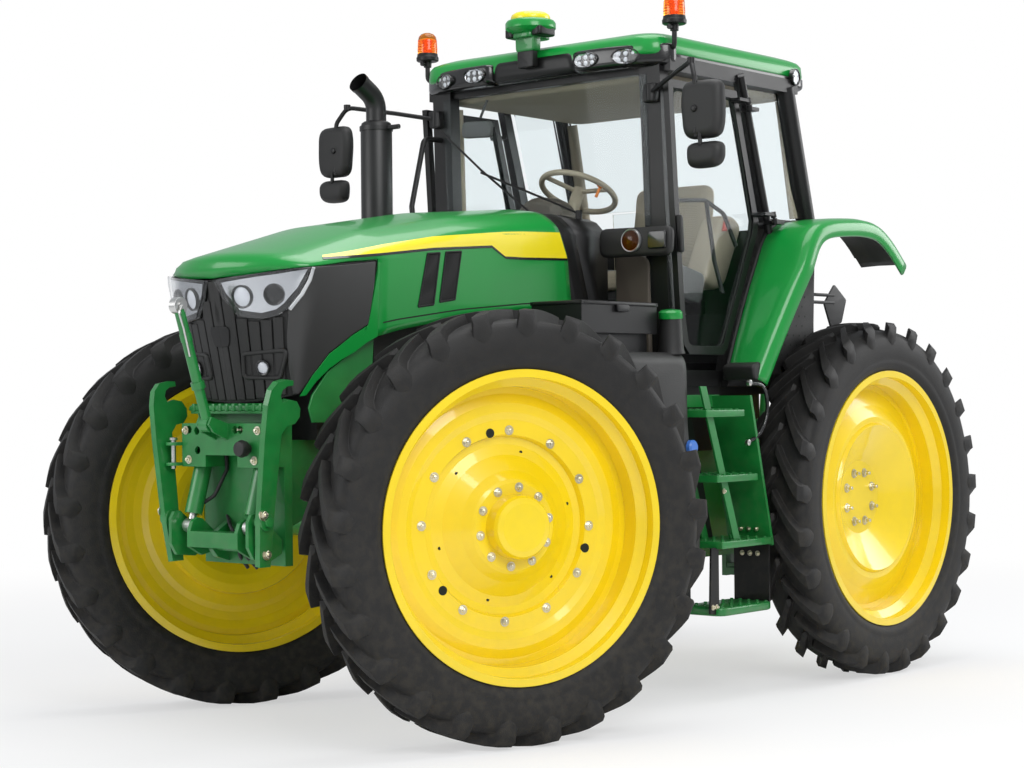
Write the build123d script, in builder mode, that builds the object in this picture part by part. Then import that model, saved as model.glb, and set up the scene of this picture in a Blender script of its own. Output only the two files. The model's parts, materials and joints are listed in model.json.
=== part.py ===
"""Row-crop farm tractor with narrow 50 inch wheels, a four-post cab and a front linkage.

Frame: +X forward, +Y to the tractor's left, +Z up, the floor at Z = 0, millimetres.
Side-view outlines are (distance ahead of the rear axle, height).
"""

import os
from math import cos, radians, sin, tan

from build123d import *

os.makedirs("parts", exist_ok=True)

# ---------------------------------------------------------------- driving dimensions
rear_axle_x = -1345.0        # where the rear axle lies, so that the origin is mid-length
wheelbase = 2765.0
tyre_radius = 915.0
tyre_width = 320.0
bead_radius = 635.0
rim_flange_radius = 660.0
rim_width = 280.0
rear_track = 1946.0          # between the rear tyres' middles
kingpin_y = 773.0            # steering pivots, half spacing
kingpin_to_tyre = 157.0      # from a kingpin out to its tyre's middle
steer_left = -20.5           # stored steering: both wheels turned to the right
steer_right = -25.3
running_gap = 6.0            # between turning pieces and what they pass
pin_gap = 0.3                # between a pin and its bore
seat_gap = 0.3               # between soft pieces and what carries them
glass_thickness = 6.0

axle_z = tyre_radius

# body widths and heights
hood_wall = 22.0
cab_half_width = 780.0
cab_floor_z = 1500.0
cab_roof_z = 3035.0
roof_top_z = 3255.0
fender_outer_y = 1085.0
fender_wall = 12.0
door_thickness = 32.0

pin_radius = 16.0            # linkage pins
rear_face = -380.0           # the transmission's rear face, ahead of the rear axle
lower_pivot = (-180.0, 640.0)
pto_z = 760.0
pto_radius = 17.5            # 35 mm splined stub
pto_collar_radius = 24.0

SIDES = (("left", 1), ("right", -1))


def ahead(distance):
    """X of a point that far ahead of the rear axle."""
    return rear_axle_x + distance


def side_face(outline, y):
    """Face from (ahead, z) points in the plane at that y."""
    with BuildSketch(Plane.XZ.offset(-y)) as face:
        with BuildLine():
            Polyline(*[(ahead(x), z) for x, z in outline], close=True)
        make_face()
    return face.sketch


def slab(outline, y_low, y_high, mode=Mode.ADD):
    """Side-view outline pulled from y_low to y_high."""
    extrude(side_face(outline, y_low), amount=y_low - y_high, mode=mode)


def wall(outline, x_low, x_high, mode=Mode.ADD):
    """Front-view outline of (y, z) points pulled from x_low to x_high ahead of the rear axle."""
    with BuildSketch(Plane.YZ.offset(ahead(x_low))) as face:
        with BuildLine():
            Polyline(*outline, close=True)
        make_face()
    extrude(face.sketch, amount=x_high - x_low, mode=mode)


def deck(outline, z_low, z_high, mode=Mode.ADD):
    """Plan outline of (ahead, y) points pulled from z_low to z_high."""
    with BuildSketch(Plane.XY.offset(z_low)) as face:
        with BuildLine():
            Polyline(*[(ahead(x), y) for x, y in outline], close=True)
        make_face()
    extrude(face.sketch, amount=z_high - z_low, mode=mode)


def block(x_span, y_span, z_span, mode=Mode.ADD):
    """Rectangular block between the given spans."""
    x_low, x_high = x_span
    y_low, y_high = y_span
    deck([(x_low, y_low), (x_high, y_low), (x_high, y_high), (x_low, y_high)], *z_span, mode=mode)


def bar(start, end, radius, mode=Mode.ADD):
    """Round bar between two (ahead, y, z) points."""
    foot = Vector(ahead(start[0]), start[1], start[2])
    tip = Vector(ahead(end[0]), end[1], end[2])
    with BuildSketch(Plane(origin=foot, z_dir=tip - foot)) as section:
        Circle(radius)
    extrude(section.sketch, amount=(tip - foot).length, mode=mode)


def beam(start, end, width, depth, across=(0, 1, 0)):
    """Rectangular bar between two (ahead, y, z) points; width lies along across."""
    foot = Vector(ahead(start[0]), start[1], start[2])
    tip = Vector(ahead(end[0]), end[1], end[2])
    with BuildSketch(Plane(origin=foot, x_dir=across, z_dir=tip - foot)) as section:
        Rectangle(width, depth)
    extrude(section.sketch, amount=(tip - foot).length)


def bent_tube(points, bend, radius):
    """Round tube along (ahead, y, z) points with rounded corners."""
    with BuildLine() as path:
        FilletPolyline(*[(ahead(x), y, z) for x, y, z in points], radius=bend)
    with BuildSketch(Plane(origin=path.line @ 0, z_dir=path.line % 0)) as section:
        Circle(radius)
    sweep(section.sketch, path=path.line)


def turned(plane, outline, mode=Mode.ADD):
    """Ring turned about the plane's x axis from (along, radius) points."""
    with BuildSketch(plane) as section:
        with BuildLine():
            Polyline(*outline, close=True)
        make_face()
    spin_axis = Axis(plane.origin, plane.x_dir)
    revolve(section.sketch, axis=spin_axis, mode=mode)


def save(part, name):
    """Label a finished piece and write its STEP file."""
    part.label = name
    export_step(part, f"parts/{name}.step")


# ---------------------------------------------------------------- wheels
# A wheel plane has its x axis along the axle, pointing outwards, and its y axis up.
def wheel_plane(side, angle, centre_y, axle_x):
    outward = Vector(-sin(radians(angle)) * side, cos(radians(angle)) * side, 0)
    origin = Vector(ahead(axle_x), centre_y, axle_z)
    return Plane(origin=origin, x_dir=outward, z_dir=outward.cross(Vector(0, 0, 1)))


def front_wheel_plane(side, angle):
    turn = radians(angle)
    shift = kingpin_to_tyre
    x = wheelbase - sin(turn) * side * shift
    y = side * kingpin_y + cos(turn) * side * shift
    return wheel_plane(side, angle, y, x)


wheels = (
    ("front_left", front_wheel_plane(1, steer_left), True),
    ("front_right", front_wheel_plane(-1, steer_right), True),
    ("rear_left", wheel_plane(1, 0, rear_track / 2, 0), False),
    ("rear_right", wheel_plane(-1, 0, -rear_track / 2, 0), False),
)

half_tyre = tyre_width / 2
half_rim = rim_width / 2
rim_sheet = 9.0
well_radius = 598.0
tyre_outline = [
    (-half_rim + 9.5, bead_radius + 0.2),
    (-half_rim + 9.5, rim_flange_radius + 2),
    (-half_tyre + 4, 700),
    (-half_tyre, 780),
    (-half_tyre + 8, 858),
    (-half_tyre + 22, tyre_radius - 12),
    (-half_tyre + 60, tyre_radius),
    (half_tyre - 60, tyre_radius),
    (half_tyre - 22, tyre_radius - 12),
    (half_tyre - 8, 858),
    (half_tyre, 780),
    (half_tyre - 4, 700),
    (half_rim - 9.5, rim_flange_radius + 2),
    (half_rim - 9.5, bead_radius + 0.2),
    (half_rim - 40, bead_radius + 0.2),
    (half_rim - 60, bead_radius + 25),
    (-half_rim + 60, bead_radius + 25),
    (-half_rim + 40, bead_radius + 0.2),
]
barrel_outline = [
    (-half_rim, rim_flange_radius),
    (-half_rim + 9, rim_flange_radius),
    (-half_rim + 9, bead_radius),
    (-half_rim + 48, bead_radius),
    (-half_rim + 80, well_radius),
    (half_rim - 80, well_radius),
    (half_rim - 48, bead_radius),
    (half_rim - 9, bead_radius),
    (half_rim - 9, rim_flange_radius),
    (half_rim, rim_flange_radius),
    (half_rim, bead_radius - rim_sheet),
    (half_rim - 48, bead_radius - rim_sheet),
    (half_rim - 80, well_radius - rim_sheet),
    (-half_rim + 80, well_radius - rim_sheet),
    (-half_rim + 48, bead_radius - rim_sheet),
    (-half_rim, bead_radius - rim_sheet),
]
front_hub_face = 40.0        # outwards of the tyre's middle
dome_face = 122.0
front_disc_outline = [
    (-30, well_radius - 1),
    (-30, 560),
    (-18, 520),
    (-18, 480),
    (-30, 450),
    (-30, 386),
    (-56, 376),
    (-60, 345),
    (-44, 300),
    (0, 235),
    (30, 200),
    (front_hub_face, 185),
    (front_hub_face, 138),
    (dome_face - 22, 134),
    (dome_face - 6, 124),
    (dome_face, 100),
    (dome_face, 0),
    (front_hub_face - 12, 0),
    (front_hub_face - 12, 185),
    (20, 200),
    (-10, 235),
    (-54, 300),
    (-70, 345),
    (-68, 385),
    (-40, 395),
    (-40, 450),
    (-28, 480),
    (-28, 520),
    (-40, 560),
    (-40, well_radius - 1),
]
spindle_radius = 60.0
spindle_end = 100.0
axle_shaft_radius = 70.0
rear_hub_face = -50.0        # inwards of the tyre's middle
rear_hub_depth = 115.0
rear_disc_outline = [
    (rear_hub_face, 0),
    (rear_hub_face, 190),
    (-30, 220),
    (45, 345),
    (62, 372),
    (66, 378),
    (58, 386),
    (50, 392),
    (50, 420),
    (20, 480),
    (-10, 560),
    (-12, well_radius - 1),
    (-24, well_radius - 1),
    (-22, 556),
    (8, 476),
    (38, 416),
    (38, 388),
    (46, 378),
    (34, 352),
    (-42, 226),
    (rear_hub_face - 12, 194),
    (rear_hub_face - 12, 0),
]
for name, plane, is_front in wheels:
    with BuildPart() as tyre:
        turned(plane, tyre_outline)
    save(tyre.part, f"tyre_{name}")
    with BuildPart() as rim:
        turned(plane, barrel_outline)
        turned(plane, front_disc_outline if is_front else rear_disc_outline)
        if is_front:
            turned(plane, [(0, 0), (0, spindle_radius + pin_gap), (spindle_end + 2, spindle_radius + pin_gap),
                           (spindle_end + 2, 0)], mode=Mode.SUBTRACT)
        else:
            back = rear_hub_face - rear_hub_depth
            turned(plane, [(back, 0), (back, 118), (back + 80, 118), (back + 80, 150),
                           (rear_hub_face - 12, 150), (rear_hub_face - 12, 0)])
            turned(plane, [(back - 10, 0), (back - 10, axle_shaft_radius + pin_gap),
                           (rear_hub_face - 20, axle_shaft_radius + pin_gap), (rear_hub_face - 20, 0)],
                   mode=Mode.SUBTRACT)
    save(rim.part, f"rim_{name}")

# ---------------------------------------------------------------- front axle and steering
yoke_gap = 232.0             # height between a yoke's two ears
ear_thickness = 34.0
ear_radius = 78.0
kingpin_radius = 32.0
beam_radius = 92.0
knuckle_height = yoke_gap - 2 * running_gap
steer_arm = 265.0            # from a kingpin back to the steering rod
steer_arm_inset = 80.0
steer_rod_x = wheelbase - steer_arm
steer_rod_z = 835.0
steer_rod_radius = 18.0
steer_rod_half = 690.0
steer_rod_shift = 100.0      # sideways at the stored steering angle
with BuildPart() as front_axle:
    for side in (1, -1):
        bar((wheelbase, 0, axle_z), (wheelbase, side * 250, axle_z), 150)
        bar((wheelbase, side * 250, axle_z), (wheelbase, side * 590, axle_z), beam_radius)
        slab([(wheelbase - 78, axle_z - 150), (wheelbase + 78, axle_z - 150),
              (wheelbase + 78, axle_z + 150), (wheelbase - 78, axle_z + 150)],
             side * 560, side * (kingpin_y - 142))
        for level in (1, -1):
            inner = axle_z + level * yoke_gap / 2
            outer = inner + level * ear_thickness
            low, high = min(inner, outer), max(inner, outer)
            block((wheelbase - ear_radius, wheelbase + ear_radius),
                  sorted((side * (kingpin_y - 200), side * kingpin_y)), (low, high))
            bar((wheelbase, side * kingpin_y, low), (wheelbase, side * kingpin_y, high), ear_radius)
            bar((wheelbase, side * kingpin_y, low), (wheelbase, side * kingpin_y, high),
                kingpin_radius + pin_gap, mode=Mode.SUBTRACT)
    bar((wheelbase - 230, 0, axle_z), (wheelbase + 230, 0, axle_z), 62)
    bar((steer_rod_x, -220, steer_rod_z), (steer_rod_x, 220, steer_rod_z), 36)
    bar((steer_rod_x, -221, steer_rod_z), (steer_rod_x, 221, steer_rod_z), steer_rod_radius + pin_gap,
        mode=Mode.SUBTRACT)
    for side in (1, -1):
        block((steer_rod_x + 30, wheelbase - 60), (side * 190, side * 218), (steer_rod_z - 20, axle_z + 20))
save(front_axle.part, "front_axle")

for (name, side), angle in zip(SIDES, (steer_left, steer_right)):
    plane = front_wheel_plane(side, angle)
    with BuildPart() as knuckle:
        pivot = (wheelbase, side * kingpin_y, axle_z)
        bar((wheelbase, pivot[1], axle_z - knuckle_height / 2),
            (wheelbase, pivot[1], axle_z + knuckle_height / 2), 86)
        bar((wheelbase, pivot[1], axle_z - yoke_gap / 2 - ear_thickness),
            (wheelbase, pivot[1], axle_z + yoke_gap / 2 + ear_thickness), kingpin_radius)
        turned(plane, [(-kingpin_to_tyre, 0), (-kingpin_to_tyre, 96), (-60, 120), (-40, 168),
                       (front_hub_face - 40, 168), (front_hub_face - 12 - running_gap, 150),
                       (front_hub_face - 12 - running_gap, spindle_radius), (spindle_end, spindle_radius),
                       (spindle_end, 0)])
        turn = Axis((ahead(wheelbase), side * kingpin_y, 0), (0, 0, 1))
        with BuildSketch(Plane.XY.offset(steer_rod_z + 38)) as arm:
            with BuildLine():
                Polyline((ahead(wheelbase) - 30, side * (kingpin_y - 60)),
                         (ahead(wheelbase) - 30, side * (kingpin_y + 40)),
                         (ahead(steer_rod_x) - 35, side * (kingpin_y - steer_arm_inset + 35)),
                         (ahead(steer_rod_x) - 35, side * (kingpin_y - steer_arm_inset - 35)), close=True)
            make_face()
        extrude(arm.sketch.rotate(turn, angle), amount=26)
    save(knuckle.part, f"knuckle_{name}")

with BuildPart() as steering_rod:
    ends = [steer_rod_shift + side * steer_rod_half for side in (1, -1)]
    bar((steer_rod_x, ends[1], steer_rod_z), (steer_rod_x, ends[0], steer_rod_z), steer_rod_radius)
    for end in ends:
        bar((steer_rod_x, end, steer_rod_z - 28), (steer_rod_x, end, steer_rod_z + 28), 32)
save(steering_rod.part, "steering_rod")

# ---------------------------------------------------------------- frame, engine, transmission
frame_half_width = 200.0
frame_top_z = 1285.0
frame_front_x = 3440.0
with BuildPart() as front_frame:
    slab([(2150, 1060), (2440, 1090), (3090, 1090), (3290, 960), (frame_front_x, 905),
          (frame_front_x, frame_top_z), (2150, frame_top_z)], -frame_half_width, frame_half_width)
    for x in (wheelbase - 210, wheelbase + 155):
        block((x, x + 55), (-120, 120), (axle_z - 95, 1100))
        bar((x - 1, 0, axle_z), (x + 56, 0, axle_z), 62 + pin_gap, mode=Mode.SUBTRACT)
save(front_frame.part, "front_frame")

with BuildPart() as engine:
    block((1700, 2950), (-255, 255), (frame_top_z, 1950))
    block((1690, 2150), (-200, 200), (820, frame_top_z))
save(engine.part, "engine")

with BuildPart() as cooling_pack:
    block((3060, 3330), (-285, 285), (frame_top_z, 1930))
save(cooling_pack.part, "cooling_pack")

trumpet_end = rear_track / 2 + rear_hub_face - rear_hub_depth - running_gap
with BuildPart() as transmission:
    slab([(rear_face, 700), (-200, 600), (500, 600), (1690, 720), (1690, 1300), (400, 1300),
          (rear_face, 1230)], -250, 250)
    for side in (1, -1):
        turned(Plane(origin=(ahead(0), 0, axle_z), x_dir=(0, side, 0), z_dir=(side, 0, 0)),
               [(200, 0), (200, 230), (300, 190), (400, 145), (800, 125),
                (trumpet_end, 140), (trumpet_end, axle_shaft_radius),
                (rear_track / 2 + rear_hub_face - 25, axle_shaft_radius),
                (rear_track / 2 + rear_hub_face - 25, 0)])
        bar((*lower_pivot[:1], side * 249, lower_pivot[1]), (lower_pivot[0], side * 308, lower_pivot[1]),
            pin_radius)
        for x in (300, 1200):
            block((x - 70, x + 70), (side * 240, side * 480), (1180, 1250))
            bar((x, side * 400, 1240), (x, side * 400, cab_floor_z - 40), 60)
    bar((rear_face - 1, 0, pto_z), (rear_face + 40, 0, pto_z), pto_collar_radius + pin_gap,
        mode=Mode.SUBTRACT)
save(transmission.part, "transmission")

# ---------------------------------------------------------------- hood
hood_rear_x = 1800.0
nose_x = 3676.0
hood_sections = (
    # ahead, bottom half width, shoulder half width, shoulder z, edge half width, edge z, crown z
    (hood_rear_x, 420, 420, 2262, 350, 2335, 2372),
    (2500, 420, 420, 2196, 345, 2268, 2312),
    (3100, 400, 436, 2092, 345, 2168, 2218),
    (nose_x + 60, 262, 440, 1950, 330, 2000, 2040),
)
hood_bottom_z = 1436.0
hinge_x, hinge_z = 1796.0, 2300.0    # the hood's hinge line
hinge_pin = 7.0


# The hood's rear edge leans forward towards the top.
hood_rear_outline = [(1600, 1800), (1758, 1850), (1872, 2262), (1912, 2345), (1916, 2450), (1600, 2450)]


def hood_body(inset, rear_x):
    """Cross-sections of the hood, set in by inset."""
    faces = []
    for x, bottom, shoulder, shoulder_z, edge, edge_z, crown in hood_sections:
        at_x = rear_x if x == hood_rear_x else x
        with BuildSketch(Plane.YZ.offset(ahead(at_x))) as section:
            with BuildLine():
                Polyline((-edge + inset, edge_z - inset), (-shoulder + inset, shoulder_z - inset / 2),
                         (-bottom + inset, hood_bottom_z), (bottom - inset, hood_bottom_z),
                         (shoulder - inset, shoulder_z - inset / 2), (edge - inset, edge_z - inset))
                ThreePointArc((edge - inset, edge_z - inset), (0, crown - inset),
                              (-edge + inset, edge_z - inset))
            make_face()
        faces.append(section.sketch)
    return faces


def nose_outline(setback):
    """Plan shape that trims the hood's front, at the top and at the bottom of the nose."""
    faces = []
    for z, middle_x, corner_x in ((1400, 3541, 3390), (2500, 3766, 3573)):
        with BuildSketch(Plane.XY.offset(z)) as face:
            with BuildLine():
                Polyline((ahead(corner_x - setback), 470), (ahead(1500), 470), (ahead(1500), -470),
                         (ahead(corner_x - setback), -470))
                ThreePointArc((ahead(corner_x - setback), -470), (ahead(middle_x - setback), 0),
                              (ahead(corner_x - setback), 470))
            make_face()
        faces.append(face.sketch)
    return faces


hood_cavity = loft(hood_body(hood_wall, hood_rear_x - 10), ruled=True) & loft(nose_outline(hood_wall))
side_panel_outline = [(3440, 2024), (3100, 2052), (3080, 2030), (3105, 1800), (3400, 1560), (3900, 1500),
                      (3900, 1985), (3490, 1985)]
hood_arch_outline = [(1700, 1300), (1700, 1895), (2300, 1860), (2935, 1752), (3150, 1715), (3280, 1650),
                     (3400, 1545), (3470, 1446), (3480, 1300)]
grille_outline = [(-255, 1490), (255, 1490), (418, 1978), (-418, 1978)]
with BuildPart() as hood:
    loft(hood_body(0, hood_rear_x), ruled=True)
    loft(nose_outline(0), mode=Mode.INTERSECT)
    add(hood_cavity, mode=Mode.SUBTRACT)
    slab(hood_arch_outline, -500, 500, mode=Mode.SUBTRACT)
    slab(hood_rear_outline, -500, 500, mode=Mode.SUBTRACT)
    for side in (1, -1):
        slab(side_panel_outline, side * 300, side * 480, mode=Mode.SUBTRACT)
        for x in (2640, 2790):
            slab([(x, 2130), (x + 75, 2115), (x + 60, 1850), (x - 10, 1870)], side * 300, side * 480,
                 mode=Mode.SUBTRACT)
    wall(grille_outline, 3300, 3800, mode=Mode.SUBTRACT)
    for side in (1, -1):
        block((hinge_x + 6, hinge_x + 150), sorted((side * 230, side * 270)), (hinge_z - 10, hinge_z + 25))
        bar((hinge_x, side * 230, hinge_z), (hinge_x, side * 270, hinge_z), 11)
        bar((hinge_x, side * 214, hinge_z), (hinge_x, side * 286, hinge_z), hinge_pin)
save(hood.part, "hood")

# The dark nose insert: grille, lamp housings and side screens, one skin behind the hood's openings.
lamp_y, lamp_z = 290.0, 1905.0
lamp_width, lamp_height = 220.0, 100.0


def lamp_pocket(clearance):
    """Prisms of the two headlamp pockets, running out through the nose."""
    with BuildSketch(Plane.YZ.offset(ahead(3440))) as face:
        with Locations((-lamp_y, lamp_z), (lamp_y, lamp_z)):
            RectangleRounded(lamp_width + 2 * clearance, lamp_height + 2 * clearance, 30)
    return extrude(face.sketch, amount=400)


insert_front = loft(hood_body(4, hood_rear_x), ruled=True) & loft(nose_outline(4))
insert_back = loft(hood_body(hood_wall + 8, hood_rear_x), ruled=True) & loft(nose_outline(60))
with BuildPart() as grille:
    add(insert_front)
    add(insert_back, mode=Mode.SUBTRACT)
    slab([(3060, 1300), (3060, 2400), (1700, 2400), (1700, 1300)], -500, 500, mode=Mode.SUBTRACT)
    slab([(3000, 1300), (3000, 1790), (3085, 1800), (3390, 1555), (3900, 1492), (3900, 1300)], -500, 500,
         mode=Mode.SUBTRACT)
    slab([(3000, 2300), (3000, 2046), (3096, 2049), (3440, 2020), (3490, 1981), (3900, 1976), (3900, 2300)],
         -500, 500, mode=Mode.SUBTRACT)
    add(hood.part, mode=Mode.SUBTRACT)
    add(lamp_pocket(seat_gap), mode=Mode.SUBTRACT)
save(grille.part, "grille")
with BuildPart() as headlights:
    add(lamp_pocket(0))
    add(insert_front, mode=Mode.INTERSECT)
save(headlights.part, "headlights")

# ---------------------------------------------------------------- cab
a_top, a_foot = (1440, 672, cab_roof_z), (1380, 688, cab_floor_z)
b_top, b_foot = (865, 772, cab_roof_z), (585, 772, 2120)
c_top, c_foot = (405, 740, cab_roof_z), (205, 740, 2335)
window_sill_z = 2335.0       # under the rear window
side_sill_z = 2350.0
door_inside_y = cab_half_width - door_thickness / 2
door_outside_y = cab_half_width + door_thickness / 2
hinge_line_top = (897, 840, 2960)
hinge_line_foot = (700, 868, 2345)
door_pin = 8.0


def on_hinge_line(z, side):
    """Point of a door's hinge line at a height."""
    share = (z - hinge_line_foot[2]) / (hinge_line_top[2] - hinge_line_foot[2])
    x, y = (foot + share * (top - foot) for foot, top in zip(hinge_line_foot[:2], hinge_line_top[:2]))
    return (x, side * y, z)


door_hinge_levels = (2345.0, 2900.0)
door_knuckle = 15.0
with BuildPart() as cab_tub:
    for side in (1, -1):
        beam((1400, side * 710, cab_floor_z + 40), (690, side * 710, cab_floor_z + 40), 80, 80)
        slab([(1010, cab_floor_z), (860, 1940), (690, 2260), (640, side_sill_z), (190, side_sill_z),
              (230, cab_floor_z)], side * 700, side * (cab_half_width + 10 - seat_gap))
    block((1419, 1492), (-735, 735), (cab_floor_z - 40, 1560 - seat_gap))
    block((190, 225), (-735, 735), (cab_floor_z, window_sill_z))
    block((190, 1420), (-735, 735), (cab_floor_z - 40, cab_floor_z + 20))
    block((225, 560), (-735, 735), (cab_floor_z, 1880))
save(cab_tub.part, "cab_tub")

with BuildPart() as cab_frame:
    for side in (1, -1):
        for (top, foot, width, depth) in ((a_top, a_foot, 122, 70), (b_top, b_foot, 34, 60),
                                          (c_top, c_foot, 60, 80)):
            beam((foot[0], side * foot[1], foot[2]), (top[0], side * top[1], top[2] + 20), width, depth)
        beam((1450, side * 735, cab_roof_z + 10), (330, side * 735, cab_roof_z + 10), 90, 70)
        for z in door_hinge_levels:
            x, y, _ = on_hinge_line(z, side)
            bar(on_hinge_line(z - 34, side), on_hinge_line(z - running_gap, side), door_knuckle)
            block((x - 75, x - 6), sorted((side * (door_outside_y + running_gap), y + side * 12)),
                  (z - 32, z - 14))
            block((x - 75, x - 22), sorted((side * 760, side * 810)), (z - 32, z - 14))
            bar(on_hinge_line(z - 40, side), on_hinge_line(z, side), door_pin + pin_gap, mode=Mode.SUBTRACT)
    beam((1420, -700, cab_roof_z + 10), (1420, 700, cab_roof_z + 10), 70, 60, across=(0, 0, 1))
    beam((380, -700, cab_roof_z + 10), (380, 700, cab_roof_z + 10), 70, 60, across=(0, 0, 1))
    add(cab_tub.part, mode=Mode.SUBTRACT)
save(cab_frame.part, "cab_frame")

cowl_front_x = 1904.0
with BuildPart() as cowl:
    wall([(-400, 1560), (400, 1560), (415, 2260), (345, 2330), (-345, 2330), (-415, 2260)], 1455,
         cowl_front_x)
    wall([(-388, 1500), (388, 1500), (403, 2254), (340, 2318), (-340, 2318), (-403, 2254)], 1467,
         cowl_front_x + 10, mode=Mode.SUBTRACT)
    slab([(1746, 1400), (1746, 1850), (1860, 2262), (1868, 2345), (2000, 2345), (2000, 1400)],
         -420, 420, mode=Mode.SUBTRACT)
    for side in (1, -1):
        block((hinge_x - 24, cowl_front_x + 10), sorted((side * 222, side * 278)), (hinge_z - 30, 2340),
              mode=Mode.SUBTRACT)
        for y in (206, 280):
            slab([(1730, 2322), (hinge_x + 14, 2322), (hinge_x + 14, hinge_z - 12), (1730, hinge_z - 12)],
                 side * y, side * (y + 14))
            bar((hinge_x, side * (y - 1), hinge_z), (hinge_x, side * (y + 15), hinge_z),
                hinge_pin + pin_gap, mode=Mode.SUBTRACT)
save(cowl.part, "cowl")

with BuildPart() as roof_base:
    deck([(1560, -600), (1500, -770), (240, -760), (190, -700), (190, 700), (240, 760), (1500, 770),
          (1560, 600)], cab_roof_z + 45, cab_roof_z + 125)
save(roof_base.part, "roof_base")

with BuildPart() as roof_cap:
    faces = []
    for height, front, rear, half in ((cab_roof_z + 125, 1530, 170, 760), (3205, 1480, 230, 690),
                                      (roof_top_z, 1200, 420, 480)):
        with BuildSketch(Plane.XY.offset(height)) as level:
            with Locations((ahead((front + rear) / 2), 0)):
                RectangleRounded(front - rear, 2 * half, 120)
        faces.append(level.sketch)
    loft(faces, ruled=True)
save(roof_cap.part, "roof_cap")

# Doors hang on the B posts; the hinge line follows the post's slope.
door_outline = [(1490, 2965), (1450, 2390), (1405, 1820), (1380, 1700), (1335, 1655), (1050, 1655),
                (1015, 1690), (880, 1975), (745, 2262), (730, 2330), (915, 2965)]
door_inner_outline = [(1450, 2925), (1412, 2390), (1366, 1830), (1342, 1715), (1318, 1695), (1072, 1695),
                      (1050, 1712), (918, 1990), (785, 2275), (775, 2330), (945, 2925)]
for name, side in SIDES:
    with BuildPart() as door:
        slab(door_outline, side * door_inside_y, side * (door_inside_y + door_thickness))
        slab(door_inner_outline, side * (door_inside_y - 1), side * (door_inside_y + door_thickness + 1),
             mode=Mode.SUBTRACT)
        for z in door_hinge_levels:
            x, y, _ = on_hinge_line(z, side)
            bar(on_hinge_line(z, side), on_hinge_line(z + 26, side), door_knuckle)
            block((x + 6, x + 95), sorted((side * door_outside_y, y + side * 12)), (z + 6, z + 22))
            bar(on_hinge_line(z - 34, side), on_hinge_line(z + 20, side), door_pin)
    save(door.part, f"door_{name}")
    with BuildPart() as door_glass:
        slab(door_inner_outline, side * (cab_half_width - glass_thickness / 2),
             side * (cab_half_width + glass_thickness / 2))
    save(door_glass.part, f"door_glass_{name}")


def a_post_front(z, clearance=seat_gap):
    """How far ahead the A posts' front faces lie at a height."""
    share = (z - a_foot[2]) / (a_top[2] + 20 - a_foot[2])
    return a_foot[0] + share * (a_top[0] - a_foot[0]) + 35.1 + clearance


def front_pane(z_low, z_high, y_low, y_high):
    """Pane lying on the front faces of the A posts."""
    low, high = a_post_front(z_low), a_post_front(z_high)
    slab([(low, z_low), (low + glass_thickness, z_low), (high + glass_thickness, z_high), (high, z_high)],
         y_low, y_high)


with BuildPart() as cab_windows:
    front_pane(2350, 3000, -655, 655)
    for side in (1, -1):
        front_pane(1560, 2340, side * 430, side * 655)
        slab([(612, side_sill_z + seat_gap), (262, side_sill_z + seat_gap), (460, 3005), (805, 3005)],
             side * 737, side * 743)
    slab([(196, window_sill_z + seat_gap), (202, window_sill_z + seat_gap), (402, 3000), (396, 3000)],
         -690, 690)
save(cab_windows.part, "cab_windows")

# ---------------------------------------------------------------- cab interior
with BuildPart() as consoles:
    slab([(1410, cab_floor_z + 20), (1240, cab_floor_z + 20), (1200, 2150), (1215, 2330), (1430, 2360),
          (1410, 2000)], -170, 170)
    wall([(-235, 2250), (-235, 2370), (-190, 2440), (-100, 2472), (10, 2452), (85, 2390),
          (100, 2250)], 1290, 1425)
    block((1290, 1420), (-170, 100), (2240, 2330))
    bar((1180 + 0.45 * 120, 0, 2500 - 0.89 * 120), (1180 + 0.45 * 193, 0, 2500 - 0.89 * 193), 32 + pin_gap,
        mode=Mode.SUBTRACT)
    block((330, 860), (-640, -330), (1880, 2150))
save(consoles.part, "consoles")

with BuildPart() as steering_wheel:
    column = Plane(origin=(ahead(1180), 0, 2500), z_dir=(-0.45, 0, 0.89))
    with BuildSketch(Plane(origin=column.origin + column.x_dir * 195, x_dir=column.z_dir,
                           z_dir=column.y_dir)) as rim_section:
        Circle(15)
    revolve(rim_section.sketch, axis=Axis(column.origin, column.z_dir))
    for turn in (90, 210, 330):
        spoke = column.x_dir.rotate(Axis((0, 0, 0), column.z_dir), turn)
        tip = column.origin + spoke * 190
        with BuildSketch(Plane(origin=column.origin, z_dir=spoke)) as section:
            Circle(12)
        extrude(section.sketch, amount=190)
    hub_foot = column.origin - column.z_dir * 190
    with BuildSketch(Plane(origin=hub_foot, z_dir=column.z_dir)) as section:
        Circle(32)
    extrude(section.sketch, amount=205)
save(steering_wheel.part, "steering_wheel")

seat_x = 600.0
with BuildPart() as seat_base:
    block((seat_x - 260, seat_x + 60), (-190, 190), (1880, 1960))
    block((seat_x - 200, seat_x + 210), (-215, 215), (1960, 2010))
save(seat_base.part, "seat_base")
with BuildPart() as seat_cushion:
    block((seat_x - 215, seat_x + 265), (-240, 240), (2010 + seat_gap, 2110))
    fillet(seat_cushion.edges().filter_by(Axis.Z), 50)
save(seat_cushion.part, "seat_cushion")
with BuildPart() as seat_backrest:
    slab([(seat_x - 160, 2110 + seat_gap), (seat_x - 250, 2110 + seat_gap), (seat_x - 305, 2575),
          (seat_x - 212, 2575)], -250, 250)
save(seat_backrest.part, "seat_backrest")
with BuildPart() as passenger_seat:
    slab([(625, 2385), (520, 2385), (455, 2330), (615, 2020), (700, 1990), (800, 2050)], 360, 520)
    block((440, 530), (380, 500), (1880, 2340))
    add(cab_tub.part, mode=Mode.SUBTRACT)
save(passenger_seat.part, "passenger_seat")

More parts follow.
